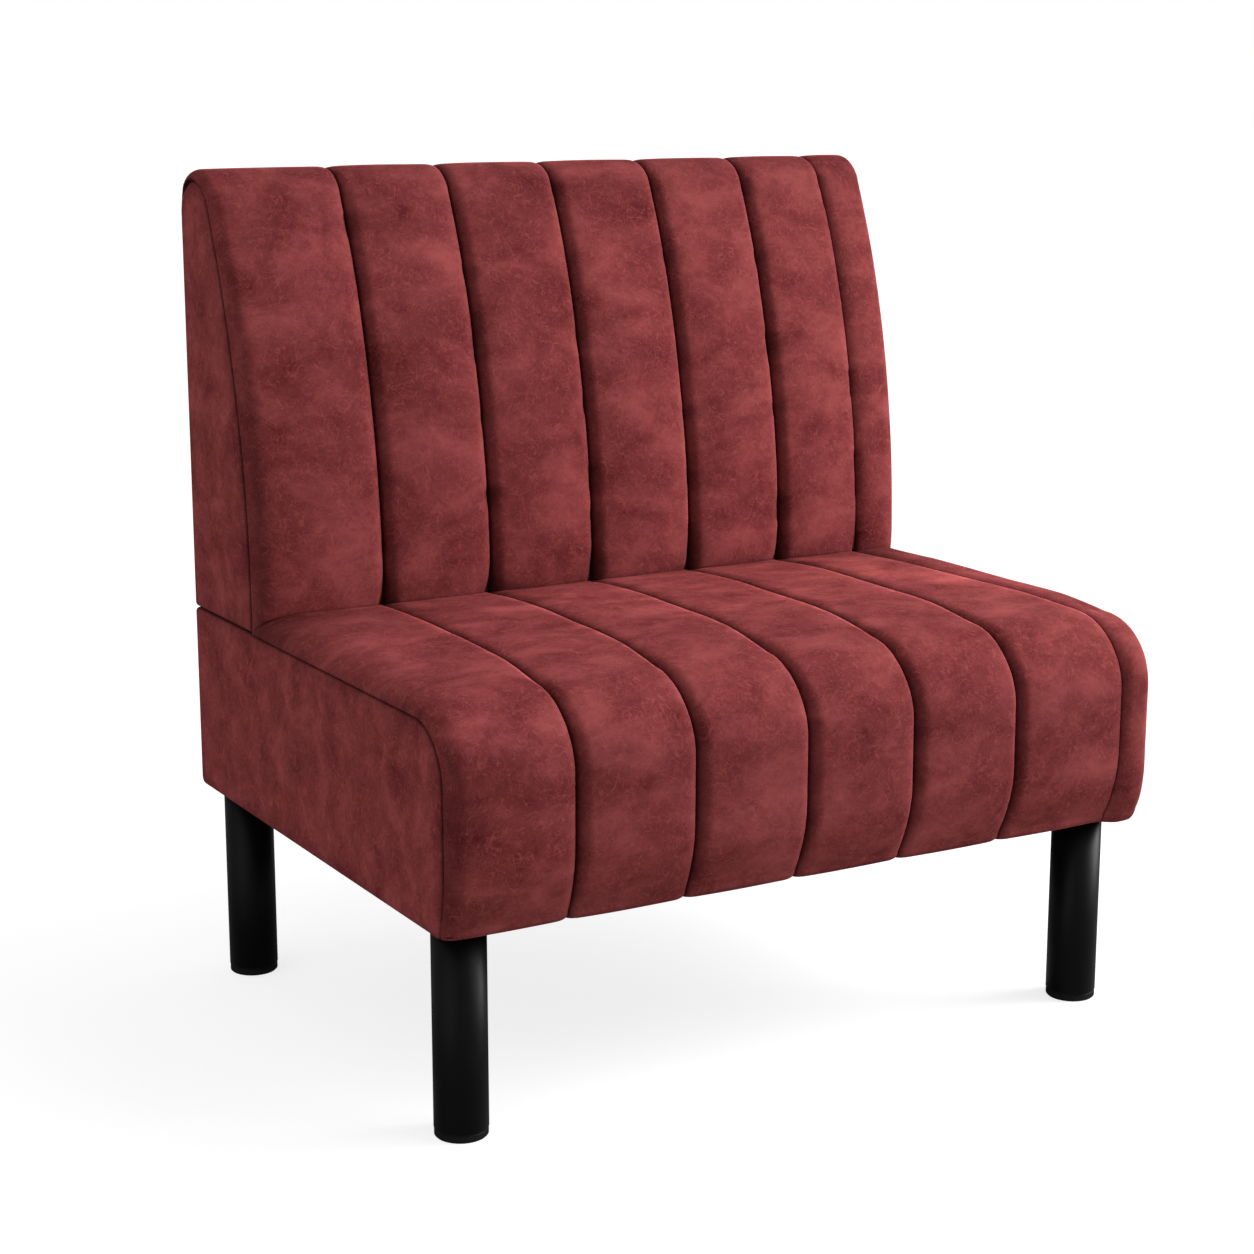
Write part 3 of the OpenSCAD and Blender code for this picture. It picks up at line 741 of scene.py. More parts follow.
@dataclass(frozen=True)
class Channels:
    """The sewn channels that seat and back share, from the left side to the right.

    The seams stand a little further apart at the seat's front than along the back.
    """

    front_seams: tuple[float, ...] = (-0.460, -0.310, -0.163, -0.018, 0.125, 0.270, 0.423, 0.469)
    back_seams: tuple[float, ...] = (-0.460, -0.293, -0.149, -0.005, 0.137, 0.274, 0.394, 0.460)
    # The last seam inside the right edge is sewn less deep than the others.
    depths: tuple[float, ...] = (1.0, 1.0, 1.0, 1.0, 1.0, 1.0, 0.26, 1.0)
    # A channel rises with quarter rounds beside its seams to a flat arch.
    shoulder_h: float = 0.0170
    shoulder_w: float = 0.0140
    arch_h: float = 0.0040
    # Width of the outer quarter rounds: plain, on the back's roll, and widened at the seat's left end.
    outer_w: float = 0.018
    roll_w: float = 0.009
    ample_w: float = 0.060
    # Depth and reach of a seam's notch where the channels are filled.
    notch: float = 0.0034
    notch_w: float = 0.0055
    dome_h: float = 0.010
    drift_w: float = 0.012
    # Points across one channel.
    steps: int = 32

    @property
    def crown(self) -> float:
        """Height of a channel's crown over the side seam."""
        return self.shoulder_h + self.arch_h

    @staticmethod
    def shoulder(distance: Array, width: float) -> Array:
        """Quarter round that rises from 0 at a seam to 1.

        Args:
            distance: Distances from the seam.
            width: Distance at which the top is reached.

        Returns:
            Heights from 0 to 1.
        """
        left = unit(1 - distance / width)
        return np.sqrt(np.maximum(0.0, 1 - left * left))

    def grid(self, fan: Array, flush: Array, tight: Array, ample: Array) -> tuple[Array, ...]:
        """Lays out the channels' points, row by row.

        Args:
            fan: For each row, from the seams' places at the back (0) to those in front (1).
            flush: For each row, how far the seams are filled.
            tight: For each row, how far the ends' shoulders are narrowed to those of the roll.
            ample: For each row, how far the left end's shoulder is widened.

        Returns:
            X, height over the side seam line, distance from the nearest inner seam, and whether that seam
            is the one to the right.
        """
        rear, front = np.array(self.back_seams), np.array(self.front_seams)
        seams = rear + fan * (front - rear)
        final = len(rear) - 2
        end_w = self.outer_w + (self.roll_w - self.outer_w) * tight
        left_w = end_w + (self.ample_w - end_w) * ample
        columns = []
        for k in range(final + 1):
            points = self.steps + (1 if k == final else 0)
            t = (1 - np.cos(np.pi * np.arange(points) / self.steps)) / 2
            left, right = seams[:, k : k + 1], seams[:, k + 1 : k + 2]
            x = left + (right - left) * t
            from_left, from_right = x - left, right - x
            rise_left = self.shoulder(from_left, self.shoulder_w if k > 0 else left_w)
            rise_left = 1 - self.depths[k] * (1 - rise_left)
            rise_right = self.shoulder(from_right, self.shoulder_w if k < final else end_w)
            rise_right = 1 - self.depths[k + 1] * (1 - rise_right)
            sewn = self.shoulder_h * rise_left * rise_right + self.arch_h * (1 - (2 * t - 1) ** 2)
            notch_left = np.exp(-from_left / self.notch_w) if k > 0 else 0
            notch_right = np.exp(-from_right / self.notch_w) if k < final else 0
            filled = self.crown - self.notch * (notch_left + notch_right)
            filled = filled * (1 if k > 0 else rise_left) * (1 if k < final else rise_right)
            to_left = from_left / self.depths[k] if k > 0 else np.ones_like(x)
            to_right = from_right / self.depths[k + 1] if k < final else np.ones_like(x)
            nearest = np.minimum(to_left, to_right)
            columns.append((x, sewn + flush * (filled - sewn), nearest, to_right < to_left))
        return tuple(np.concatenate(parts, 1) for parts in zip(*columns))


# Points that a channelled cover's ends add on either side.
END_POINTS = (3, 3)


@dataclass(frozen=True)
class Ripple:
    """One kind of unevenness of the cloth.

    length is that of a wave along the channels. X counts for the share across, which draws the waves
    out from side to side. shift tells the pattern from the others, and height is how far it stands out.
    """

    length: float
    across: float
    shift: float
    height: float = 1.0


@dataclass
class ChannelledCover:
    """A cover of sewn channels that follows a side seam line."""

    name: str
    line: list[Station]
    channels: Channels
    seed: float
    on_seat: bool = False
    # How strongly the seams pull the channels' edges in here and there, from 0 to 1, and how deep; where
    # they are pulled in, the seam's painted shade also reaches further.
    pinch: float = 0.0
    pinch_h: float = 4.5 * MM
    skin: float = 0.002
    corner_r: float = 0.005
    eased_x: float = 0.412
    eased_w: float = 0.030
    sag: float = 0.003
    # Heights over the hem at which its rounded corners and its sag end, and how soon the sag comes in.
    corner_h: float = 0.035
    sag_h: float = 0.070
    sag_w: float = 0.014
    # The back's channels end on the seat's crown, which hides what lies under this height.
    crown_z: float = 0.487
    low_h: float = 0.050
    # Height over which the back's foot follows the seat, and how far its channels' corners are rounded.
    follow_h: float = 0.03
    rounded_h: float = 5 * MM
    rounded_w: float = 0.008
    # The channels part at their foot: how far, and at what distance from the seam this starts and ends.
    parting: float = 0.0095
    part_from: float = 0.0025
    part_w: float = 0.010
    # Reach of a seam's shade, and what is added to it where the back's channels end on the seat.
    seam_w: float = 0.0037
    foot_seam_w: float = 0.0100
    # Share of a seam's shade that reaches up the flank to its left, which the key light falls on.
    lit_flank: float = 0.5
    # Painted shade beside the side seams, on the left, away from the key light, and on the right, and its
    # reach.
    side_shade_left: float = 0.34
    side_shade_right: float = 0.08
    side_shade_w: float = 0.012
    # Painted shade over wide areas: the back's top, the seat's front, and the seat's rear, where it
    # starts with a step at this distance from the back.
    top_shade: float = 0.15
    front_shade: float = 0.07
    rear_shade: float = 0.56
    rear_step: float = 0.10
    rear_w: float = 0.17
    # Puckers along the seams and gathers along the ends of the seat's roll: their reach and height.
    pucker_w: float = 0.012
    pucker_h: float = 0.6 * MM
    gather_w: float = 0.009
    gather_h: float = 1.3 * MM
    # The roll of the cover's ends over the side panels: how far out, and over what width.
    lip_out: float = 2.0 * MM
    lip_w: float = 0.015
    swell: Ripple = Ripple(0.10, 1.0, 0.0, 1.2 * MM)
    dent: Ripple = Ripple(0.03, 0.6, 3.0, 0.3 * MM)
    pucker: Ripple = Ripple(0.0095, 0.35, 7.0)
    sway: Ripple = Ripple(0.17, 0.2, 11.0, 1.0 * MM)
    pinches: Ripple = Ripple(0.045, 0.5, 15.0)
    pull: Ripple = Ripple(0.016, 0.3, 19.0)

    @staticmethod
    def ends(x: Array, lip: Array, side: int) -> tuple[Array, Array]:
        """Turns a cover's end in behind the side panel, or over its top where there is a lip.

        Args:
            x: The end seam's place in each row.
            lip: How far the end rolls over the panel in each row.
            side: -1 at the left end and 1 at the right.

        Returns:
            X and height of the points that follow, from the seam inwards.
        """
        # In millimetres: how far out and up the three points lie, without and with a lip.
        plain_x, plain_z = np.array([-0.2, -1.0, -2.6]), np.array([-0.9, -1.7, -2.2])
        lip_x, lip_z = np.array([1.6, 1.9, -3.2]), np.array([-2.4, -5.6, -7.8])
        rolled = lip[:, None]
        over = plain_x * (1 - rolled) + lip_x * rolled
        down = plain_z * (1 - rolled) + lip_z * rolled
        return x[:, None] + side * over * MM, down * MM

    def ripple(self, kind: Ripple, flat: Array) -> Array:
        """Noise of one kind at each point.

        Args:
            kind: The kind of unevenness.
            flat: Rows by columns of X, length along the line and seed.

        Returns:
            Rows by columns of values from -1 to 1, times the kind's height.
        """
        points = (flat * np.array([kind.across, 1.0, 1.0])).reshape(-1, 3)
        return kind.height * waves(points, kind.length, self.seed + kind.shift).reshape(flat.shape[:2])

    def rolled(self, normal: Array) -> Array:
        """For each row, how far it lies on the seat's front roll, where the side seam is gathered."""
        slant = unit(-normal[:, 0]) * unit(normal[:, 1])
        return np.zeros(len(normal)) if self.on_seat else 2 * slant

    def low(self, base: Array) -> Array:
        """For each row, how near it lies to the seat's crown, from 1 there to 0 well over it."""
        return unit(1 - (base[:, 1] - self.crown_z) / self.low_h)

    def seam_widths(self, base: Array) -> Array:
        """For each row, how far a seam's shade reaches."""
        return self.seam_w + (self.foot_seam_w * self.low(base) if self.on_seat else np.zeros(len(base)))

    def shaded(self, base: Array) -> Array:
        """Painted shade over wide areas: at the back's top, or at the seat's rear and front.

        Args:
            base: Y and Z of each row's side seam.

        Returns:
            One shade for each row.
        """
        if self.on_seat:
            return self.top_shade * unit((base[:, 1] - 0.89) / 0.08)
        near = unit((base[:, 0] - SIZES.foot_y + self.rear_w) / self.rear_w)
        in_front = unit((SIZES.seat_z - 0.02 - base[:, 1]) / 0.05)
        at_rear = self.rear_step * (near > 0) + self.rear_shade * near
        return np.maximum(at_rear, self.front_shade * in_front)

    def unevenness(self, flat: Array, rise: Array, away: Array, normal: Array) -> tuple[Array, Array]:
        """Swells, dents, puckers and pinches of the channels.

        Args:
            flat: Rows by columns of X, length along the line and seed.
            rise: Height over the side seam line.
            away: Distance from the nearest inner seam.
            normal: Outward normal of each row.

        Returns:
            What is added to the height, and how far the seam is pinched, from 0 to 1.
        """
        full = unit(rise / self.channels.crown)
        beside = np.exp(-away / self.pucker_w)
        pucker = self.ripple(self.pucker, flat)
        uneven = full * (self.ripple(self.swell, flat) + self.ripple(self.dent, flat))
        uneven += beside * (1 - np.exp(-away / 0.003)) * self.pucker_h * pucker
        # A seam is pinched where this noise is well over nought, and more strongly here and there.
        pinched = unit((self.ripple(self.pinches, flat) - 0.12) / 0.20) * self.pinch
        uneven -= beside * self.pinch_h * pinched * (0.6 + 0.5 * self.ripple(self.pull, flat))
        to_end = unit(SIZES.half_width - np.abs(flat[..., 0]))
        gathered = np.exp(-to_end / self.gather_w) * (1 - np.exp(-to_end / 0.002))
        uneven += self.gather_h * self.rolled(normal)[:, None] * gathered * pucker
        return uneven, pinched

    def set_on_seat(self, outer: Array, inner: Array, base: Array, away: Array) -> None:
        """Lifts the back cover's foot so that it follows the seat's channels.

        Args:
            outer: The cover's outside, which is changed.
            inner: The cover's inside, which is changed.
            base: Y and Z of each row's side seam.
            away: Distance from the nearest inner seam.
        """
        follow = unit(1 - (base[:, 1] - base[0, 1]) / self.follow_h) ** 2
        ends = np.abs(outer[0, :, 0]) > SIZES.half_width - 0.001
        rounded = self.rounded_h * np.exp(-((away[0] / self.rounded_w) ** 2))
        flush, none = np.array([[SeatLine().top_flush]]), np.zeros((1, 1))
        seat = Channels(back_seams=self.channels.back_seams)
        seat_rise = seat.grid(none, flush, none, flush)[1][0]
        under = np.where(ends, 0.0, np.pad(seat_rise, END_POINTS) + rounded)
        outer[..., 2] += follow[:, None] * under
        inner[..., 2] += follow[:, None] * under

    def hang_hem(self, outer: Array, base: Array, normal: Array) -> None:
        """Rounds the seat cover's lower front corners and lets its hem sag towards the right.

        Args:
            outer: The cover's outside, which is changed.
            base: Y and Z of each row's side seam.
            normal: Outward normal of each row.
        """
        x = outer[0, :, 0]
        over_hem = base[:, 1] - base[:, 1].min()
        follow = unit(1 - over_hem / self.corner_h) ** 2
        short = np.clip(self.corner_r - (SIZES.half_width - np.abs(x)), 0, self.corner_r)
        corner = self.corner_r - np.sqrt(self.corner_r**2 - short**2)
        in_front = (base[:, 1] < SIZES.seat_z - 0.1) & (normal[:, 0] < -0.05)
        outer[..., 2] += (follow * in_front)[:, None] * corner
        loose = unit(1 - over_hem / self.sag_h) ** 1.5 * unit((base[0, 0] - base[:, 0]) / self.sag_w)
        from_left = unit(0.5 + x / (2 * SIZES.half_width))
        outer[..., 2] -= loose[:, None] * (self.sag * (1 - (1 - from_left) ** 2))

    def grids(self) -> tuple[Array, Array, Array]:
        """Builds the outer and inner points.

        Returns:
            Outer grid, inner grid, and the painted shade of each outer point.
        """
        base = np.array([[s.y, s.z] for s in self.line])
        normal = np.array([[s.ny, s.nz] for s in self.line])
        share, flush, lip, tight, ample, fan, dome, drift, ease = (
            np.array([[getattr(s, key)] for s in self.line])
            for key in ("share", "flush", "lip", "tight", "ample", "fan", "dome", "drift", "ease")
        )
        x, rise, away, before = self.channels.grid(fan, flush, tight, ample)
        length = np.concatenate([[0], np.cumsum(np.linalg.norm(np.diff(base, axis=0), axis=1))])
        flat = np.stack([x, np.broadcast_to(length[:, None], x.shape), np.full_like(x, self.seed)], -1)
        uneven, pinched = self.unevenness(flat, rise, away, normal)
        height = share * (rise + uneven) * (1 - ease * unit((x - self.eased_x) / self.eased_w))
        across = unit(np.abs(x) / SIZES.half_width)
        height += dome * self.channels.dome_h * (1 - across**2.5)
        to_right = (x + SIZES.half_width) / (2 * SIZES.half_width)
        if self.on_seat:
            parted = np.where(before, self.parting, -0.3 * self.parting) * self.low(base)[:, None] ** 2
            x = x - parted * unit(away / self.part_from) * np.exp(-away / self.part_w)
        drifted = drift * self.channels.drift_w * (0.05 + to_right) * (1 - across**14)
        x = x + self.ripple(self.sway, flat) * (1 - across**6) - drifted
        to_end = unit(SIZES.half_width - np.abs(x))
        x = x + np.sign(x) * lip * self.lip_out * np.exp(-((to_end / self.lip_w) ** 2))
        left_x, left_h = self.ends(x[:, 0], lip[:, 0], -1)
        right_x, right_h = self.ends(x[:, -1], lip[:, 0], 1)
        x = np.concatenate([left_x[:, ::-1], x, right_x], axis=1)
        height = np.concatenate([left_h[:, ::-1], height, right_h], axis=1)
        away, before, pinched = (
            np.pad(values, ((0, 0), END_POINTS), constant_values=beyond)
            for values, beyond in ((away, 1.0), (before, False), (pinched, 0.0))
        )
        y, z = base[:, :1] + normal[:, :1] * height, base[:, 1:] + normal[:, 1:] * height
        outer = np.stack([x, y, z], axis=-1)
        half = SIZES.half_width - SIZES.side_thickness - 0.0005
        y, z = (np.broadcast_to(side[:, None], x.shape) for side in (base - normal * self.skin).T)
        inner = np.stack([np.clip(x, -half, half), y, z], axis=-1)
        if self.on_seat:
            self.set_on_seat(outer, inner, base, away)
        else:
            self.hang_hem(outer, base, normal)
        # Painted shade in the seams, wider where they are pinched and at the back's foot, and on the lit
        # flank narrower.
        reach = self.seam_widths(base)[:, None] * np.where(before, self.lit_flank, 1.0) * (1 + 1.6 * pinched)
        # Painted shade beside the side seams, none where the ends roll over or widen.
        pressed = np.where(x < 0, self.side_shade_left, self.side_shade_right) * (1 - np.maximum(tight, ample))
        at_side = pressed * np.exp(-((unit(SIZES.half_width - np.abs(x)) / self.side_shade_w) ** 2))
        crease = np.maximum(np.maximum(np.exp(-away / reach), at_side), self.shaded(base)[:, None])
        # Painted shadow on the points turned under the roll's lip.
        turned_under = [0, 1, -2, -1]
        crease[:, turned_under] = np.maximum(crease[:, turned_under], unit(lip))
        return outer, inner, crease

    def build(self, material: Material, replaced: tuple[str, ...]) -> Piece:
        """Makes the cover as one closed padded piece.

        Args:
            material: The cloth.
            replaced: CAD nodes that the cover stands for.

        Returns:
            The new object.
        """
        outer, inner, crease = self.grids()
        verts, faces = closed_shell(outer, inner)
        # Painted shade on the outside points and none on the inside.
        depth = np.concatenate([crease.reshape(-1), np.zeros(inner.shape[0] * inner.shape[1])])
        cover = make_piece(self.name, verts, faces, material, crease=depth)
        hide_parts(*replaced)
        return cover


@dataclass
class SeatLine:
    """Side seam of the seat, from the hem under the front rail to the foot of the back."""

    front_y: float = SIZES.front_y
    hem_y: float = SIZES.front_y + 0.034
    hem_z: float = 0.2375
    lower_r: float = 0.010
    # The front curls in towards its lower edge.
    curl_h: float = 0.075
    curl_y: float = 0.010
    edge_r: float = 0.066
    top_z: float = SIZES.seat_z
    end_y: float = SIZES.foot_y + 0.002
    # Near the lower edge the channels lose part of their crown, and the last one keeps more of it.
    tuck_h: float = 0.080
    tuck_loss: float = 0.50
    corner_fill: float = 0.70
    # Filling of the seams at the lower edge and on top, and where it comes in about the roll's top.
    flush: float = 0.30
    top_flush: float = 0.96
    fill_before: float = 0.062
    fill_after: float = 0.100
    # On the roll the cover is slack, and the last channel is lower over this length beyond it.
    slack: float = 0.12
    ease: float = 0.34
    ease_w: float = 0.09
    ample: float = 0.60
    # Shares of the top where the dome has risen and where it starts to fall.
    dome_start: float = 0.36
    dome_end: float = 0.60

    def at_front(self, height: float) -> tuple[float, float, float, float]:
        """Share of the crown, filling of the seams, drift and ease at a height over the lower edge."""
        low = unit(1 - height / self.tuck_h)
        return 1 - self.tuck_loss * low**1.9, self.flush * low**3, low**1.8, -self.corner_fill * low**1.5

    def curl(self, height: float) -> float:
        """How far the cover has curled inwards at a height over the lower edge."""
        return self.curl_y * unit(1 - height / self.curl_h) ** 2.2

    def filled(self, beyond: float) -> float:
        """Filling of the seams at a distance beyond the roll's top, negative on the roll itself."""
        filling = self.fill_before + self.fill_after
        return self.top_flush * smooth_step((beyond + self.fill_before) / filling)

    def domed(self, y: float) -> float:
        """Share of the dome along the top.

        Args:
            y: Place on the top.

        Returns:
            From 0 at both ends to 1.
        """
        start, end = self.front_y + self.edge_r, SIZES.foot_y - 0.012
        t = unit((y - start) / (end - start))
        rising, falling = unit(t / self.dome_start), unit((t - self.dome_end) / (1 - self.dome_end))
        return (1 - (1 - rising) ** 2) * (1 - falling**2)

    def eased(self, turned: float, beyond: float) -> float:
        """Share of its height that the last channel loses on the roll and beyond it.

        Args:
            turned: How far the roll has turned, from 0 to 1.
            beyond: Distance beyond the roll's top, or 0.

        Returns:
            The share, negative where the channel is fuller.
        """
        if beyond > 0:
            return self.ease * unit(1 - beyond / self.ease_w) ** 2
        # Low on the roll the channel is a little fuller instead.
        full = 0.10 * math.exp(-(((turned - 0.35) / 0.2) ** 2))
        return self.ease * smooth_step((turned - 0.5) / 0.5) - full

    def stations(self) -> list[Station]:
        """Samples the line.

        Returns:
            Stations from the hem to the back.
        """
        turn_y = self.front_y + self.curl_y + self.lower_r
        share, flush, drift, ease = self.at_front(0)
        line = [
            Station(y, self.hem_z, 0, -1, 0.0, flush, fan=1.0, drift=drift)
            for y in np.linspace(self.hem_y, turn_y, 8, endpoint=False)
        ]
        for a in np.linspace(0, math.pi / 2, 9, endpoint=False):
            y, z = turn_y - self.lower_r * math.sin(a), self.hem_z + self.lower_r * (1 - math.cos(a))
            part = share * math.sin(a) ** 1.5
            line.append(
                Station(y, z, -math.sin(a), -math.cos(a), part, flush, fan=1.0, drift=drift, ease=ease)
            )
        top_of_front = self.top_z - self.edge_r
        for z in np.linspace(self.hem_z + self.lower_r, top_of_front, 40, endpoint=False):
            over = z - self.hem_z - self.lower_r
            share, flush, drift, ease = self.at_front(over)
            y = self.front_y + self.curl(over)
            line.append(Station(y, z, -1, 0, share, flush, fan=1.0, drift=drift, ease=ease))
        for a in np.linspace(math.pi, math.pi / 2, 26, endpoint=False):
            y = self.front_y + self.edge_r * (1 + math.cos(a))
            z = top_of_front + self.edge_r * math.sin(a)
            turned = (math.pi - a) / (math.pi / 2)
            share = 1 - self.slack * math.sin(math.pi * turned) ** 2
            flush = self.filled((turned - 1) * self.edge_r * math.pi / 2)
            ease, ample = self.eased(turned, 0), self.ample * turned * turned
            line.append(
                Station(y, z, math.cos(a), math.sin(a), share, flush, ample=ample, fan=1.0, ease=ease)
            )
        start = self.front_y + self.edge_r
        for y in np.linspace(start, self.end_y, 104):
            fan = 1 - (y - start) / (self.end_y - start)
            flush, ease, dome = self.filled(y - start), self.eased(1, y - start), self.domed(y)
            ample = self.ample + (1 - self.ample) * (1 - fan)
            line.append(Station(y, self.top_z, 0, 1, 1.0, flush, ample=ample, fan=fan, dome=dome, ease=ease))
        return line


@dataclass
class BackLine:
    """Side seam of the back, from its foot over the roll at the top to the rear seam."""

    foot_y: float = SIZES.foot_y
    foot_z: float = SIZES.back_z
    rear_y: float = SIZES.rear_y
    # The back is upright up to here and leans in an arc from here to the roll.
    lean_z: float = 0.500
    top_z: float = 0.994
    roll_r: float = 0.045
    end_z: float = 0.930
    # Height of the crowns at the very top.
    top_crown: float = 0.007
    # Near the foot the channels lose part of their crown.
    foot_h: float = 0.045
    foot_loss: float = 0.45
    flush: float = 0.75

    def at_foot(self, height: float) -> float:
        """Share of the crown at a height over the foot."""
        return 1 - self.foot_loss * unit(1 - height / self.foot_h) ** 2

    @staticmethod
    def lip(turn: float) -> float:
        """How far the cover's end rolls over the panel; turn is 1 at the roll's start and 0 at its end."""
        if turn > 1:
            return 0.0 if turn > 1.1 else (1.1 - turn) * 3
        return unit(0.3 + (1 - turn) * 2.8) * unit((turn - 0.12) / 0.22)

    @staticmethod
    def tight(turn: float) -> float:
        """How far the ends' shoulders are narrowed, from 0 on the lean to 1 on the roll."""
        return unit((1.12 - turn) / 0.13)

    def stations(self) -> list[Station]:
        """Samples the line.

        Returns:
            Stations from the foot to the rear seam.
        """
        roll_y, roll_z = self.rear_y - self.roll_r, self.top_z - self.roll_r
        depth = self.rear_y - self.foot_y
        span = roll_z - self.lean_z
        lean_r = ((depth - self.roll_r) ** 2 - self.roll_r**2 + span**2) / (2 * (depth - 2 * self.roll_r))
        lean_y = self.foot_y + lean_r
        start = math.pi - math.atan(span / (lean_y - roll_y))
        power = math.log(self.top_crown / (0.9 * Channels().crown)) / math.log(math.pi / 2 / start)
        line = []
        for z in np.linspace(self.foot_z, self.lean_z, 12, endpoint=False):
            line.append(Station(self.foot_y, z, -1, 0, self.at_foot(z - self.foot_z)))
        for t in np.linspace(0, 1, 110, endpoint=False):
            a = math.pi + (start - math.pi) * t
            share = self.at_foot(self.lean_z - self.foot_z + span * t) * (1 - 0.1 * t**4)
            y, z = lean_y + lean_r * math.cos(a), self.lean_z + lean_r * math.sin(a)
            lip, tight = self.lip(a / start), self.tight(a / start)
            line.append(Station(y, z, math.cos(a), math.sin(a), share, lip=lip, tight=tight))
        for t in np.linspace(0, 1, 34, endpoint=False):
            a = start * (1 - t)
            y, z = roll_y + self.roll_r * math.cos(a), roll_z + self.roll_r * math.sin(a)
            share, flush, lip = 0.9 * (1 - t) ** power, self.flush * math.sqrt(t), self.lip(a / start)
            line.append(Station(y, z, math.cos(a), math.sin(a), share, flush, lip, tight=1.0))
        for z in np.linspace(roll_z, self.end_z, 5):
            line.append(Station(self.rear_y, z, 1, 0, 0.0, self.flush, tight=1.0))
        return line


def rounded_outline(corners: list[Place], step: float = 0.006, arc_step: float = 0.0015) -> Array:
    """Rounds the corners of a polygon and divides its sides.

    Args:
        corners: For each corner its two coordinates and the radius there.
        step: Longest distance between two points of a side.
        arc_step: About the distance between two points of a rounded corner.

    Returns:
        Points round the outline.
    """
    points: list[Vector] = []
    count = len(corners)
    for i, (x, y, radius) in enumerate(corners):
        here = Vector((x, y))
        before = Vector(corners[i - 1][:2])
        after = Vector(corners[(i + 1) % count][:2])
        if radius <= 0:
            points.append(here)
            continue
        to_before, to_after = (before - here).normalized(), (after - here).normalized()
        half = to_before.angle(to_after) / 2
        reach = radius / math.tan(half)
        centre = here + (to_before + to_after).normalized() * (radius / math.sin(half))
        first, last = here + to_before * reach - centre, here + to_after * reach - centre
        turn = first.angle_signed(last)
        parts = max(3, int(abs(turn) * radius / arc_step))
        for j in range(parts + 1):
            points.append(centre + Matrix.Rotation(-turn * j / parts, 2) @ first)
    dense: list[Point] = []
    for i, point in enumerate(points):
        after = points[(i + 1) % len(points)]
        parts = max(1, math.ceil((after - point).length / step))
        dense += [tuple(point.lerp(after, j / parts)) for j in range(parts)]
    return np.array(dense)


def distance_to_outline(points: Array, outline: Array) -> Array:
    """Distance of each point from a closed outline.

    Args:
        points: Points in the plane.
        outline: Points round the outline.

    Returns:
        One distance for each point.
    """
    start, end = outline, np.roll(outline, -1, axis=0)
    along = end - start
    best = np.full(len(points), 1e9)
    for a, d in zip(start, along):
        t = unit(((points - a) @ d) / max(float(d @ d), 1e-12))
        best = np.minimum(best, np.linalg.norm(points - a - t[:, None] * d, axis=1))
    return best


def inside(points: Array, outline: Array) -> Array:
    """Which points lie in an outline.

    Args:
        points: Points in the plane.
        outline: Points round the outline.

    Returns:
        True or False for each point.
    """
    result = np.zeros(len(points), bool)
    x, y = points[:, 0], points[:, 1]
    for (ax, ay), (bx, by) in zip(outline, np.roll(outline, -1, axis=0)):
        crosses = (ay > y) != (by > y)
        if by != ay:
            result ^= crosses & (x < (bx - ax) * (y - ay) / (by - ay) + ax)
    return result


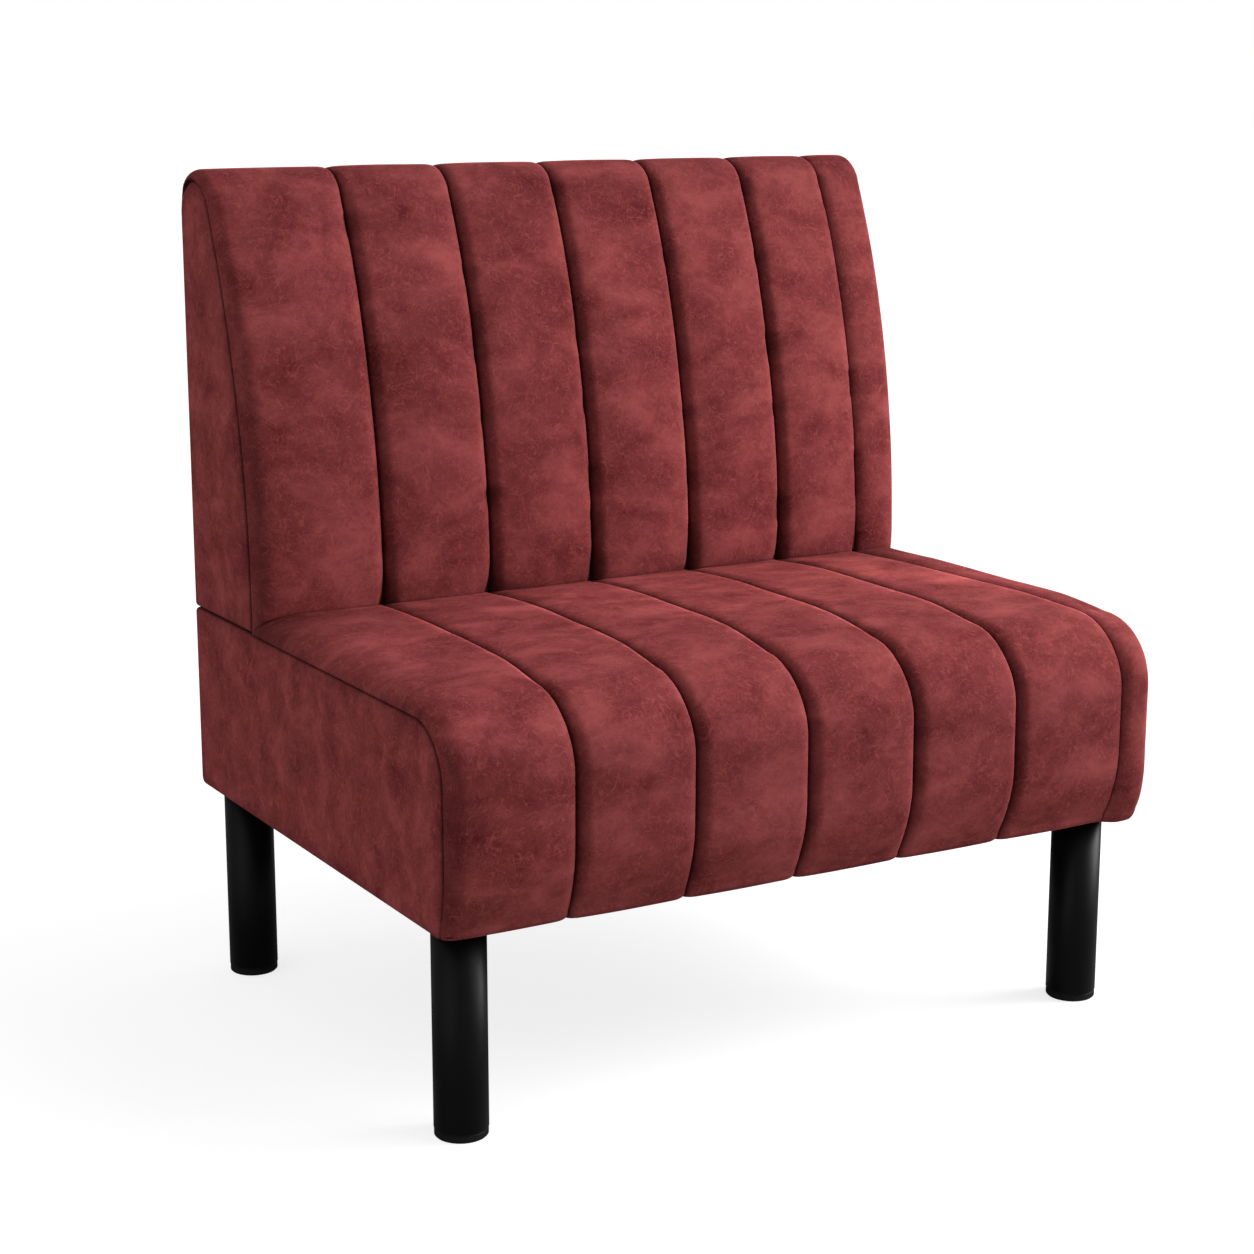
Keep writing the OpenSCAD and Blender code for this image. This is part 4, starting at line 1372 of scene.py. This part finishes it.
@dataclass
class PlainPanel:
    """A flat panel of padded cloth with soft edges, drawn in a plane and set upright or level."""

    name: str
    outline: Array
    thickness: float
    edge_r: float
    bulge: float
    seed: float
    spacing: float = 0.009
    dome_w: float = 0.012
    # Rings of points along the edge, by their distance from it in edge radii.
    rings: tuple[float, ...] = (0.12, 0.35, 0.7, 1.15, 1.8)
    # Softness of the padding: how far from the edge it comes in, and its swells and dents.
    soft_w: float = 0.020
    swell: Ripple = Ripple(0.13, 1.0, 0.0, 0.35)
    dent: Ripple = Ripple(0.03, 1.0, 5.0, 0.2 * MM)
    # Reach of the edge seam's painted shade, and strength and reach of the wider painted shade along the
    # edges that meet the channelled cover.
    seam_w: float = 0.0025
    with_edge_shade: bool = False
    edge_shade: float = 0.3
    edge_shade_w: float = 0.014

    def flat_mesh(self) -> tuple[Array, list, Array]:
        """Divides the outline into triangles with closer points along the edge.

        Returns:
            Points in the plane, triangles, and each point's distance from the edge.
        """
        rings = [self.outline]
        forward = np.roll(self.outline, -1, axis=0) - np.roll(self.outline, 1, axis=0)
        forward /= np.maximum(np.linalg.norm(forward, axis=1)[:, None], 1e-9)
        inward = np.stack([-forward[:, 1], forward[:, 0]], axis=1)
        if not inside(self.outline[:1] + inward[:1] * 0.0004, self.outline)[0]:
            inward = -inward
        for d in self.rings:
            ring = self.outline + inward * d * self.edge_r
            near = distance_to_outline(ring, self.outline)
            keep = inside(ring, self.outline) & (near > 0.8 * d * self.edge_r)
            rings.append(ring[keep])
        low, high = self.outline.min(axis=0), self.outline.max(axis=0)
        across = [np.arange(low[i] + self.spacing / 2, high[i], self.spacing) for i in (0, 1)]
        grid = np.stack(np.meshgrid(*across), axis=-1).reshape(-1, 2)
        grid = grid[inside(grid, self.outline)]
        clear_of_rings = 2.4 * self.edge_r + 0.002
        grid = grid[distance_to_outline(grid, self.outline) > clear_of_rings]
        points = np.concatenate([*rings, grid])
        edges = [(i, (i + 1) % len(self.outline)) for i in range(len(self.outline))]
        out, _, triangles, *_ = delaunay_2d_cdt([Vector(p) for p in points], edges, [], 1, 1e-6)
        flat = np.array([tuple(p) for p in out])
        return flat, [list(t) for t in triangles], distance_to_outline(flat, self.outline)

    def shaded(self, flat: Array) -> Array:
        """Finds where the panel's edge beside the channelled cover takes painted shade: in front and on top.

        Args:
            flat: Points in the plane.

        Returns:
            For each point a share that falls to 0 at the rear and at the foot.
        """
        low, high = self.outline.min(axis=0), self.outline.max(axis=0)
        from_rear, from_foot = unit((high[0] - flat[:, 0]) / 0.03), unit((flat[:, 1] - low[1]) / 0.02)
        return from_rear * from_foot if self.with_edge_shade else np.zeros(len(flat))

    def solid(self) -> tuple[Array, Array, list, Array]:
        """Makes the closed panel.

        Returns:
            Points in the plane, height of each over the panel's back, faces, and painted shade along the
            edge.
        """
        flat, triangles, away = self.flat_mesh()
        r = min(self.edge_r, self.thickness)
        over = np.clip(r - away, 0, r)
        height = self.thickness - (r - np.sqrt(np.maximum(r * r - over * over, 0)))
        sample = np.concatenate([flat, np.full((len(flat), 1), self.seed)], axis=1)
        dome = Channels.shoulder(away, self.dome_w)
        soft = 1 - np.exp(-away / self.soft_w)
        swell, dent = (
            waves(sample, kind.length, self.seed + kind.shift) for kind in (self.swell, self.dent)
        )
        height = height + self.bulge * (dome + self.swell.height * soft * (1 + swell))
        height = height + self.dent.height * soft * dent
        count = len(flat)
        rim: dict[tuple[int, int], int] = {}
        for a, b, c in triangles:
            for edge in ((a, b), (b, c), (c, a)):
                rim[edge] = rim.get(edge, 0) + 1
        border = [e for e in rim if (e[1], e[0]) not in rim]
        faces = triangles + [[c + count, b + count, a + count] for a, b, c in triangles]
        faces += [[b, a, a + count, b + count] for a, b in border]
        points = np.concatenate([flat, flat])
        heights = np.concatenate([height, np.zeros(count)])
        # Painted shade along the edges that meet the channelled cover.
        drawn = self.edge_shade * np.exp(-((away / self.edge_shade_w) ** 2)) * self.shaded(flat)
        crease = np.concatenate([np.maximum(np.exp(-away / self.seam_w), drawn), np.zeros(count)])
        return points, heights, faces, crease

    def build(
        self, place: Matrix, material: Material, replaced: tuple[str, ...], slot: str = "upholstery"
    ) -> Piece:
        """Makes the panel in place.

        Args:
            place: Takes the drawing plane to the frame, with the panel's height along its third axis.
            material: The cloth.
            replaced: CAD nodes that the panel stands for.
            slot: The name of a material slot; not used.

        Returns:
            The new object.
        """
        points, heights, faces, crease = self.solid()
        local = np.concatenate([points, heights[:, None]], axis=1)
        turn = np.array(place)
        verts = local @ turn[:3, :3].T + turn[:3, 3]
        panel = make_piece(self.name, verts, faces, material, crease=crease)
        if replaced:
            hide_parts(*replaced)
        return panel


def axes(first: tuple, second: tuple, third: tuple, origin: tuple) -> Matrix:
    """Matrix that takes a drawing's three axes and its origin into the frame."""
    return Matrix([*zip(first, second, third, origin), (0, 0, 0, 1)])


@dataclass
class Upholstery:
    """Covers, side panels and rear panels of seat and back."""

    finishes: Finishes
    channels: Channels = field(default_factory=Channels)
    tuck: float = 0.0025
    roll_tuck: float = 0.0068
    rear_turn: float = 0.65

    def covers(self) -> None:
        """Makes the channelled covers of seat and back."""
        seat = ChannelledCover("seat_channels", SeatLine().stations(), self.channels, seed=2.0)
        seat.build(self.finishes.suede, ("seat_cover_flutes", "seat_foam"))
        wide_ends = replace(self.channels, outer_w=0.025)
        line = BackLine().stations()
        back = ChannelledCover("back_channels", line, wide_ends, seed=9.0, on_seat=True, pinch=0.8)
        back.build(self.finishes.suede, ("back_cover_flutes", "back_foam"))

    def seat_outline(self, sag: float) -> Array:
        """Draws the outline of the seat's side panel.

        Args:
            sag: How far its lower front corner is let down.

        Returns:
            Points in Y and Z.
        """
        line = SeatLine()
        front, top = line.front_y + self.tuck, line.top_z - self.tuck
        centre_y, centre_z = line.front_y + line.edge_r, line.top_z - line.edge_r
        r = line.edge_r - self.tuck
        rear_corner = (SIZES.rear_y, SIZES.hem_z - 0.0015, 0.010)
        corners = [rear_corner, (front + line.curl_y, line.hem_z - sag, 0.007)]
        for height in np.linspace(0.2, 1, 9) * line.curl_h:
            corners.append((front + line.curl(height), line.hem_z + height, 0.0))
        for a in np.linspace(math.pi, math.pi / 2, 24):
            corners.append((centre_y + r * math.cos(a), centre_z + r * math.sin(a), 0.0))
        level = line.top_z - 0.0004
        corners += [(line.end_y, top, 0.0), (line.end_y + 0.003, level, 0.0), (SIZES.rear_y, level, 0.006)]
        return rounded_outline(corners)

    def back_outline(self) -> Array:
        """Draws the outline of the back's side panel.

        Returns:
            Points in Y and Z.
        """
        line = BackLine()
        low = line.foot_z + 0.0004
        corners = [(SIZES.rear_y, low, 0.006), (line.foot_y + self.tuck, low, 0.002)]
        stations = [s for s in line.stations() if s.z > line.foot_z + 0.006]
        for s in stations:
            inset = self.tuck + (self.roll_tuck - self.tuck) * s.lip
            inset *= unit(math.atan2(s.nz, s.ny) / self.rear_turn)
            corners.append((s.y - s.ny * inset, s.z - s.nz * inset, 0.0))
        return rounded_outline(corners)

    def side_panels(self) -> None:
        """Makes the plain side panels of seat and back."""
        for side in Side:
            name = side.name.lower()
            inner_x = side.value * (SIZES.half_width - SIZES.side_thickness)
            place = axes((0, 1, 0), (0, 0, 1), (side.value, 0, 0), (inner_x, 0, 0))
            sag = ChannelledCover.sag if side is Side.RIGHT else 0.0
            for part, outline in (("seat", self.seat_outline(sag)), ("back", self.back_outline())):
                # The side panels take the paler suede with its painted light, and painted shade along the
                # edges that meet the channels.
                panel = PlainPanel(
                    f"{part}_panel_{name}",
                    outline,
                    thickness=2.6 * MM,
                    edge_r=2.6 * MM,
                    bulge=2.6 * MM,
                    seed=20.0 + side.value,
                    with_edge_shade=True,
                ).build(place, self.finishes.side_suede_painted_light, (f"{part}_cover_{name}",))

    def rear_panels(self) -> None:
        """Makes the plain rear panels of seat and back."""
        reach = SIZES.half_width - SIZES.side_thickness - 0.0004
        place = axes((1, 0, 0), (0, 0, 1), (0, 1, 0), (0, SIZES.rear_y - SIZES.rear_thickness, 0))
        spans = (("seat", SIZES.hem_z, SIZES.seat_z - 0.0004), ("back", SIZES.back_z + 0.0004, 0.9295))
        for part, low, high in spans:
            corners = ((-reach, low), (reach, low), (reach, high), (-reach, high))
            panel = PlainPanel(
                f"{part}_panel_rear",
                rounded_outline([(x, z, 3 * MM) for x, z in corners]),
                thickness=SIZES.rear_thickness,
                edge_r=2 * MM,
                bulge=1.2 * MM,
                seed=31.0,
                spacing=0.014,
            ).build(place, self.finishes.suede, (f"{part}_cover_rear",))

    def build(self) -> None:
        """Makes every piece of cloth that shows from the sides."""
        self.covers()
        self.side_panels()
        self.rear_panels()


@dataclass
class Underside:
    """Hems under the frame, their staples, and the black lining."""

    finishes: Finishes
    low_z: float = SIZES.hem_z
    frame_z: float = SIZES.frame_z
    pocket: float = 0.0355
    lining_reach: float = SIZES.half_width - 0.0235
    lining_front: float = SIZES.front_y + 0.035
    lining_rear: float = SIZES.rear_y - 0.023
    hem_w: float = 0.020
    inset: float = 0.0025
    # Half the width of a staple's wire in millimetres, and how far staples turn and shift at random.
    wire_half: float = 0.45
    turn_by: float = 9
    shift_x: float = 0.0015
    shift_y: float = 0.004

    def strip(self, name: str, low: Point, high: Point) -> None:
        """Makes one hem strip, cut round the leg plates.

        Args:
            name: The piece's name.
            low: Lowest X and Y.
            high: Highest X and Y.
        """
        corners = self.notched(low, high)
        place = axes((1, 0, 0), (0, -1, 0), (0, 0, -1), (0, 0, self.frame_z - 0.0002))
        outline = rounded_outline([(x, -y, 0.0015) for x, y in corners])
        strip = PlainPanel(
            name, outline, thickness=4 * MM, edge_r=2 * MM, bulge=0.2 * MM, seed=40.0, spacing=0.02
        )
        strip.build(place, self.finishes.suede, ())

    def notched(self, low: Point, high: Point) -> list[Point]:
        """Corners of a rectangle, with a notch wherever a leg plate reaches into it.

        Args:
            low: Lowest X and Y.
            high: Highest X and Y.

        Returns:
            Corners in order.
        """
        (x0, y0), (x1, y1) = low, high
        corners = [(x0, y0), (x1, y0), (x1, y1), (x0, y1)]
        for corner in Corner:
            (x, y), half = corner.value, self.pocket
            corners = self.subtract(corners, (x - half, y - half), (x + half, y + half))
        return corners

    @staticmethod
    def subtract(corners: list[Point], low: Point, high: Point) -> list[Point]:
        """Takes a box out of an outline whose sides run along X and Y.

        Args:
            corners: The outline, anticlockwise.
            low: Lowest X and Y of the box.
            high: Highest X and Y of the box.

        Returns:
            The outline that is left.
        """

        def within(point: Point, axis: int) -> bool:
            """Whether a point lies in the box's span along an axis."""
            return low[axis] < point[axis] < high[axis]

        result: list[Point] = []
        for here, after in zip(corners, corners[1:] + corners[:1]):
            if not (within(here, 0) and within(here, 1)):
                result.append(here)
            along = 0 if here[1] == after[1] else 1
            across = 1 - along
            if not within(here, across):
                continue
            first, last = sorted((here[along], after[along]))
            forward = here[along] == first
            hits = [value for value in (low[along], high[along]) if first < value < last]
            hits.sort(reverse=not forward)
            # The outline runs anticlockwise, so the box reaches in on the left of the way.
            inner = (high if forward == (along == 0) else low)[across]
            levels = ((here[across], inner), (inner, here[across]))
            turns = [(value, level) for value, pair in zip(hits, levels) for level in pair]
            if len(hits) == 1 and not within(after, along):
                turns = turns[:1]
            result += [turn if along == 0 else turn[::-1] for turn in turns]
        return result

    def lining(self) -> None:
        """Makes the black cloth that closes the frame from below."""
        low, high = (-self.lining_reach, self.lining_front), (self.lining_reach, self.lining_rear)
        corners = self.notched(low, high)
        place = axes((1, 0, 0), (0, -1, 0), (0, 0, -1), (0, 0, self.frame_z - 0.0001))
        outline = rounded_outline([(x, -y, 0.0) for x, y in corners], step=0.015)
        sheet = PlainPanel(
            "underside_lining",
            outline,
            thickness=0.9 * MM,
            edge_r=0.8 * MM,
            bulge=1.2 * MM,
            seed=50.0,
            spacing=0.02,
        ).build(place, self.finishes.lining, ("seat_dust_cover",), slot="lining")

    def staples(self) -> None:
        """Makes the rows of wire staples that hold hems and lining."""
        rng = random.Random(5)
        verts: list[Array] = []
        faces: list[list[int]] = []
        side_x, rows_y = self.lining_reach + 0.006, (self.lining_front - 0.008, self.lining_rear + 0.008)
        # Place of each staple and how far it is turned: two rows at the sides, one in front, one at the rear.
        spots = [(x, y, 0) for x in (-side_x, side_x) for y in np.arange(-0.21, 0.25, 0.045)]
        spots += [(x, y, 90) for y in rows_y for x in np.arange(-0.35, 0.36, 0.05)]
        # Section of a staple in millimetres along it and upwards, outside and inside.
        profile = [(-5.0, 1.4), (-5.0, -0.3), (-4.5, -0.7), (4.5, -0.7), (5.0, -0.3), (5.0, 1.4)]
        inner = [(-4.2, 1.4), (-4.2, 0.2), (-3.9, 0.0), (3.9, 0.0), (4.2, 0.2), (4.2, 1.4)]
        n, m = len(profile), len(profile) + len(inner)
        for x, y, turn in spots:
            angle = math.radians(90 + turn + rng.uniform(-self.turn_by, self.turn_by))
            x += rng.uniform(-self.shift_x, self.shift_x)
            y += rng.uniform(-self.shift_y, self.shift_y)
            along = np.array([math.cos(angle), math.sin(angle), 0.0])
            side = np.array([-math.sin(angle), math.cos(angle), 0.0])
            up, middle = np.array([0.0, 0.0, 1.0]), np.array([x, y, self.low_z - 0.0002])
            start = len(verts)
            for half in (-self.wire_half, self.wire_half):
                verts += [middle + (along * u + side * half + up * v) * MM for u, v in profile + inner]
            for i in range(n - 1):
                for flip, offset in ((False, 0), (True, m)):
                    quad = [start + offset + k for k in (i, i + 1, n + i + 1, n + i)]
                    faces.append(quad[::-1] if flip else quad)
                faces.append([start + k for k in (i, i + m, i + 1 + m, i + 1)])
                faces.append([start + n + k for k in (i + 1, i + 1 + m, i + m, i)])
            for i in (0, n - 1):
                faces.append([start + k for k in (i, n + i, n + i + m, i + m)])
        make_piece("staples", np.array(verts), faces, self.finishes.zinc, smooth=False)

    def build(self) -> None:
        """Makes hems, staples and lining."""
        inner = self.lining_reach + 0.0004
        outer = self.lining_reach + self.hem_w + 0.0002
        front, rear = SIZES.front_y + self.inset, SIZES.rear_y - self.inset
        self.strip("hem_left", (-outer, front), (-inner, rear))
        self.strip("hem_right", (inner, front), (outer, rear))
        self.strip("hem_rear", (-self.lining_reach, rear - self.hem_w), (self.lining_reach, rear))
        self.lining()
        self.staples()


@dataclass
class Legs:
    """Tube legs with their welds, and the finishes of plates, plugs, nuts and feet."""

    finishes: Finishes
    radius: float = 0.030
    wall: float = 0.002
    low_z: float = 0.0098
    high_z: float = 0.242
    edge: float = 0.0004
    weld_leg: float = 0.0028
    segments: int = 96

    def lathe(self, name: str, corner: Corner, profile: list[Point], replaced: tuple[str, ...]) -> Piece:
        """Turns a closed profile round a leg's axis.

        Args:
            name: The piece's name.
            corner: The leg.
            profile: Radius and height of each point, in order round the section.
            replaced: CAD nodes that the piece stands for.

        Returns:
            The new object.
        """
        cx, cy = corner.value
        verts, faces = [], []
        n = len(profile)
        for i in range(self.segments):
            a = 2 * math.pi * i / self.segments
            verts += [(cx + r * math.cos(a), cy + r * math.sin(a), z) for r, z in profile]
            for j in range(n):
                k, after = (j + 1) % n, (i + 1) % self.segments
                faces.append([i * n + j, after * n + j, after * n + k, i * n + k])
        piece = make_piece(name, np.array(verts), faces, self.finishes.powder)
        if replaced:
            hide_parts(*replaced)
        return piece

    def tube(self, corner: Corner) -> None:
        """Makes one tube with its deburred ends and the weld that joins it to its plate.

        Args:
            corner: The leg.
        """
        outer, inner, ease = self.radius, self.radius - self.wall, self.edge
        profile = [
            (outer - ease, self.low_z),
            (outer - 0.3 * ease, self.low_z + 0.3 * ease),
            (outer, self.low_z + ease),
            (outer, self.high_z),
            (inner, self.high_z),
            (inner, self.low_z + ease),
            (inner + ease, self.low_z),
        ]
        self.lathe(f"leg_tube_{corner.suffix}", corner, profile, (f"leg_{corner.suffix}",))
        top, leg = self.high_z - 0.0001, self.weld_leg
        bead = [(outer - 0.0002, top)]
        for a in np.linspace(0, math.pi / 2, 6):
            bead.append((outer + leg * (1 - math.sin(a)), top - leg * (1 - math.cos(a))))
        self.lathe(f"weld_{corner.suffix}", corner, bead, ())

    def build(self, nodes: dict[str, Piece]) -> None:
        """Makes the tubes and dresses what stays from the CAD model.

        Args:
            nodes: CAD nodes by name.
        """
        for corner in Corner:
            self.tube(corner)
            dress(nodes[f"plate_{corner.suffix}"], self.finishes.powder)
            dress(nodes[f"plug_{corner.suffix}"], self.finishes.nylon)
            dress(nodes[f"glide_{corner.suffix}"], self.finishes.nylon)
            dress(nodes[f"stud_{corner.suffix}"], self.finishes.zinc)
        for name in ("foot_nuts", "leg_screws"):
            dress(nodes[name], self.finishes.zinc)


@dataclass
class Frame:
    """Timber, plywood and steel inside the upholstery."""

    finishes: Finishes
    beech: tuple[str, ...] = (
        "seat_front_rail",
        "seat_rear_rail",
        "seat_left_rail",
        "seat_right_rail",
        "seat_cross_rails",
        "seat_corner_blocks",
    )
    birch: tuple[str, ...] = (
        "seat_deck",
        "back_left_stile",
        "back_right_stile",
        "back_mid_ribs",
        "back_top_rail",
        "back_bottom_rail",
        "back_front_panel",
        "back_rear_panel",
    )
    zinc: tuple[str, ...] = (
        "deck_screws",
        "back_bracket_left",
        "back_bracket_right",
        "bracket_bolts",
        "bracket_nuts",
    )

    def build(self, nodes: dict[str, Piece]) -> None:
        """Dresses the CAD nodes of the frame.

        Args:
            nodes: CAD nodes by name.
        """
        for names, material in (
            (self.beech, self.finishes.beech),
            (self.birch, self.finishes.birch),
            (self.zinc, self.finishes.zinc),
        ):
            for name in names:
                dress(nodes[name], material)


@dataclass
class Studio:
    """Paper floor, soft lights, white surroundings and the camera."""

    # Where the photograph was taken from, as fitted to its upright and level edges.
    place: Place = (-1.5458, -2.5828, 1.1262)
    turn: float = 0.525
    tilt: float = 0.219
    lens: float = 73.13
    world_strength: float = 0.465
    key_strength: float = 1.50
    fill_strength: float = 0.34
    sun_angle: float = 0.9
    # Directions that the two wide lights come from, and the soft box that gives the legs their streak.
    key_from: Place = (2.4, -1.15, 1.85)
    fill_from: Place = (-2.4, -0.9, 1.2)
    box_at: Place = (2.3, -0.9, 1.3)
    box_aim: Place = (0.2, 0.0, 0.6)
    box_size: float = 1.2
    box_watts: float = 48.0
    floor_half: float = 30.0

    def floor(self) -> None:
        """Lays the paper floor."""
        mesh = bpy.data.meshes.new("paper_floor")
        a = self.floor_half
        mesh.from_pydata([(-a, -a, 0), (a, -a, 0), (a, a, 0), (-a, a, 0)], [], [(0, 1, 2, 3)])
        mesh.materials.append(StudioPaper().material())
        paper = bpy.data.objects.new("paper_floor", mesh)
        bpy.context.scene.collection.objects.link(paper)

    def surroundings(self) -> None:
        """Lights the scene evenly from all round and shows white behind it."""
        world = bpy.data.worlds.new("white_studio")
        bpy.context.scene.world = world
        world.use_nodes = True
        tree = world.node_tree
        tree.nodes.clear()
        levels = {"To Min": self.world_strength, "To Max": 1.0}
        strength = add_node(tree, "MapRange", levels, {"Value": (camera_sees(tree), "Value")})
        light = add_node(tree, "Background", {"Color": grey(1.0)}, {"Strength": (strength, "Result")})
        add_node(tree, "OutputWorld", None, {"Surface": (light, "Background")})

    def hang(self, name: str, data: bpy.types.Light, place: Place, aim: Place) -> None:
        """Hangs a light and points it.

        Args:
            name: The light's name.
            data: The light.
            place: Where it hangs.
            aim: What it points at.
        """
        lamp = bpy.data.objects.new(name, data)
        lamp.location = place
        lamp.rotation_euler = (Vector(aim) - Vector(place)).to_track_quat("-Z", "Y").to_euler()
        bpy.context.scene.collection.objects.link(lamp)

    def soft_box(self) -> None:
        """Makes the square soft box."""
        data = bpy.data.lights.new("soft_box_right", "AREA")
        data.shape, data.size, data.energy = "SQUARE", self.box_size, self.box_watts
        self.hang("soft_box_right", data, self.box_at, self.box_aim)

    def sun(self, name: str, place: Place, strength: float) -> None:
        """Makes a wide even light, which falls the same on all of the floor.

        Args:
            name: The light's name.
            place: The direction that it comes from.
            strength: How strong it is.
        """
        data = bpy.data.lights.new(name, "SUN")
        data.energy, data.angle = strength, self.sun_angle
        self.hang(name, data, place, (0.0, 0.0, 0.0))

    def camera(self) -> None:
        """Sets the camera where the photograph was taken from."""
        data = bpy.data.cameras.new("camera")
        data.lens, data.sensor_width = self.lens, 36.0
        data.clip_start, data.clip_end = 0.05, 100.0
        camera = bpy.data.objects.new("camera", data)
        camera.location = self.place
        camera.rotation_euler = (math.pi / 2 - self.tilt, 0.0, -self.turn)
        bpy.context.scene.collection.objects.link(camera)
        bpy.context.scene.camera = camera

    def build(self) -> None:
        """Sets up the whole studio."""
        bpy.context.scene.view_settings.view_transform = "Standard"
        self.floor()
        self.surroundings()
        self.sun("broad_key", self.key_from, self.key_strength)
        self.sun("broad_fill", self.fill_from, self.fill_strength)
        self.soft_box()
        self.camera()


def main() -> None:
    logging.basicConfig(level=logging.INFO, format="%(name)s: %(message)s")
    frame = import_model()
    finishes = Finishes()
    Upholstery(finishes).build()
    Underside(finishes).build()
    Legs(finishes).build(frame["nodes"])
    Frame(finishes).build(frame["nodes"])
    Studio().build()


if __name__ == "__main__":
    main()
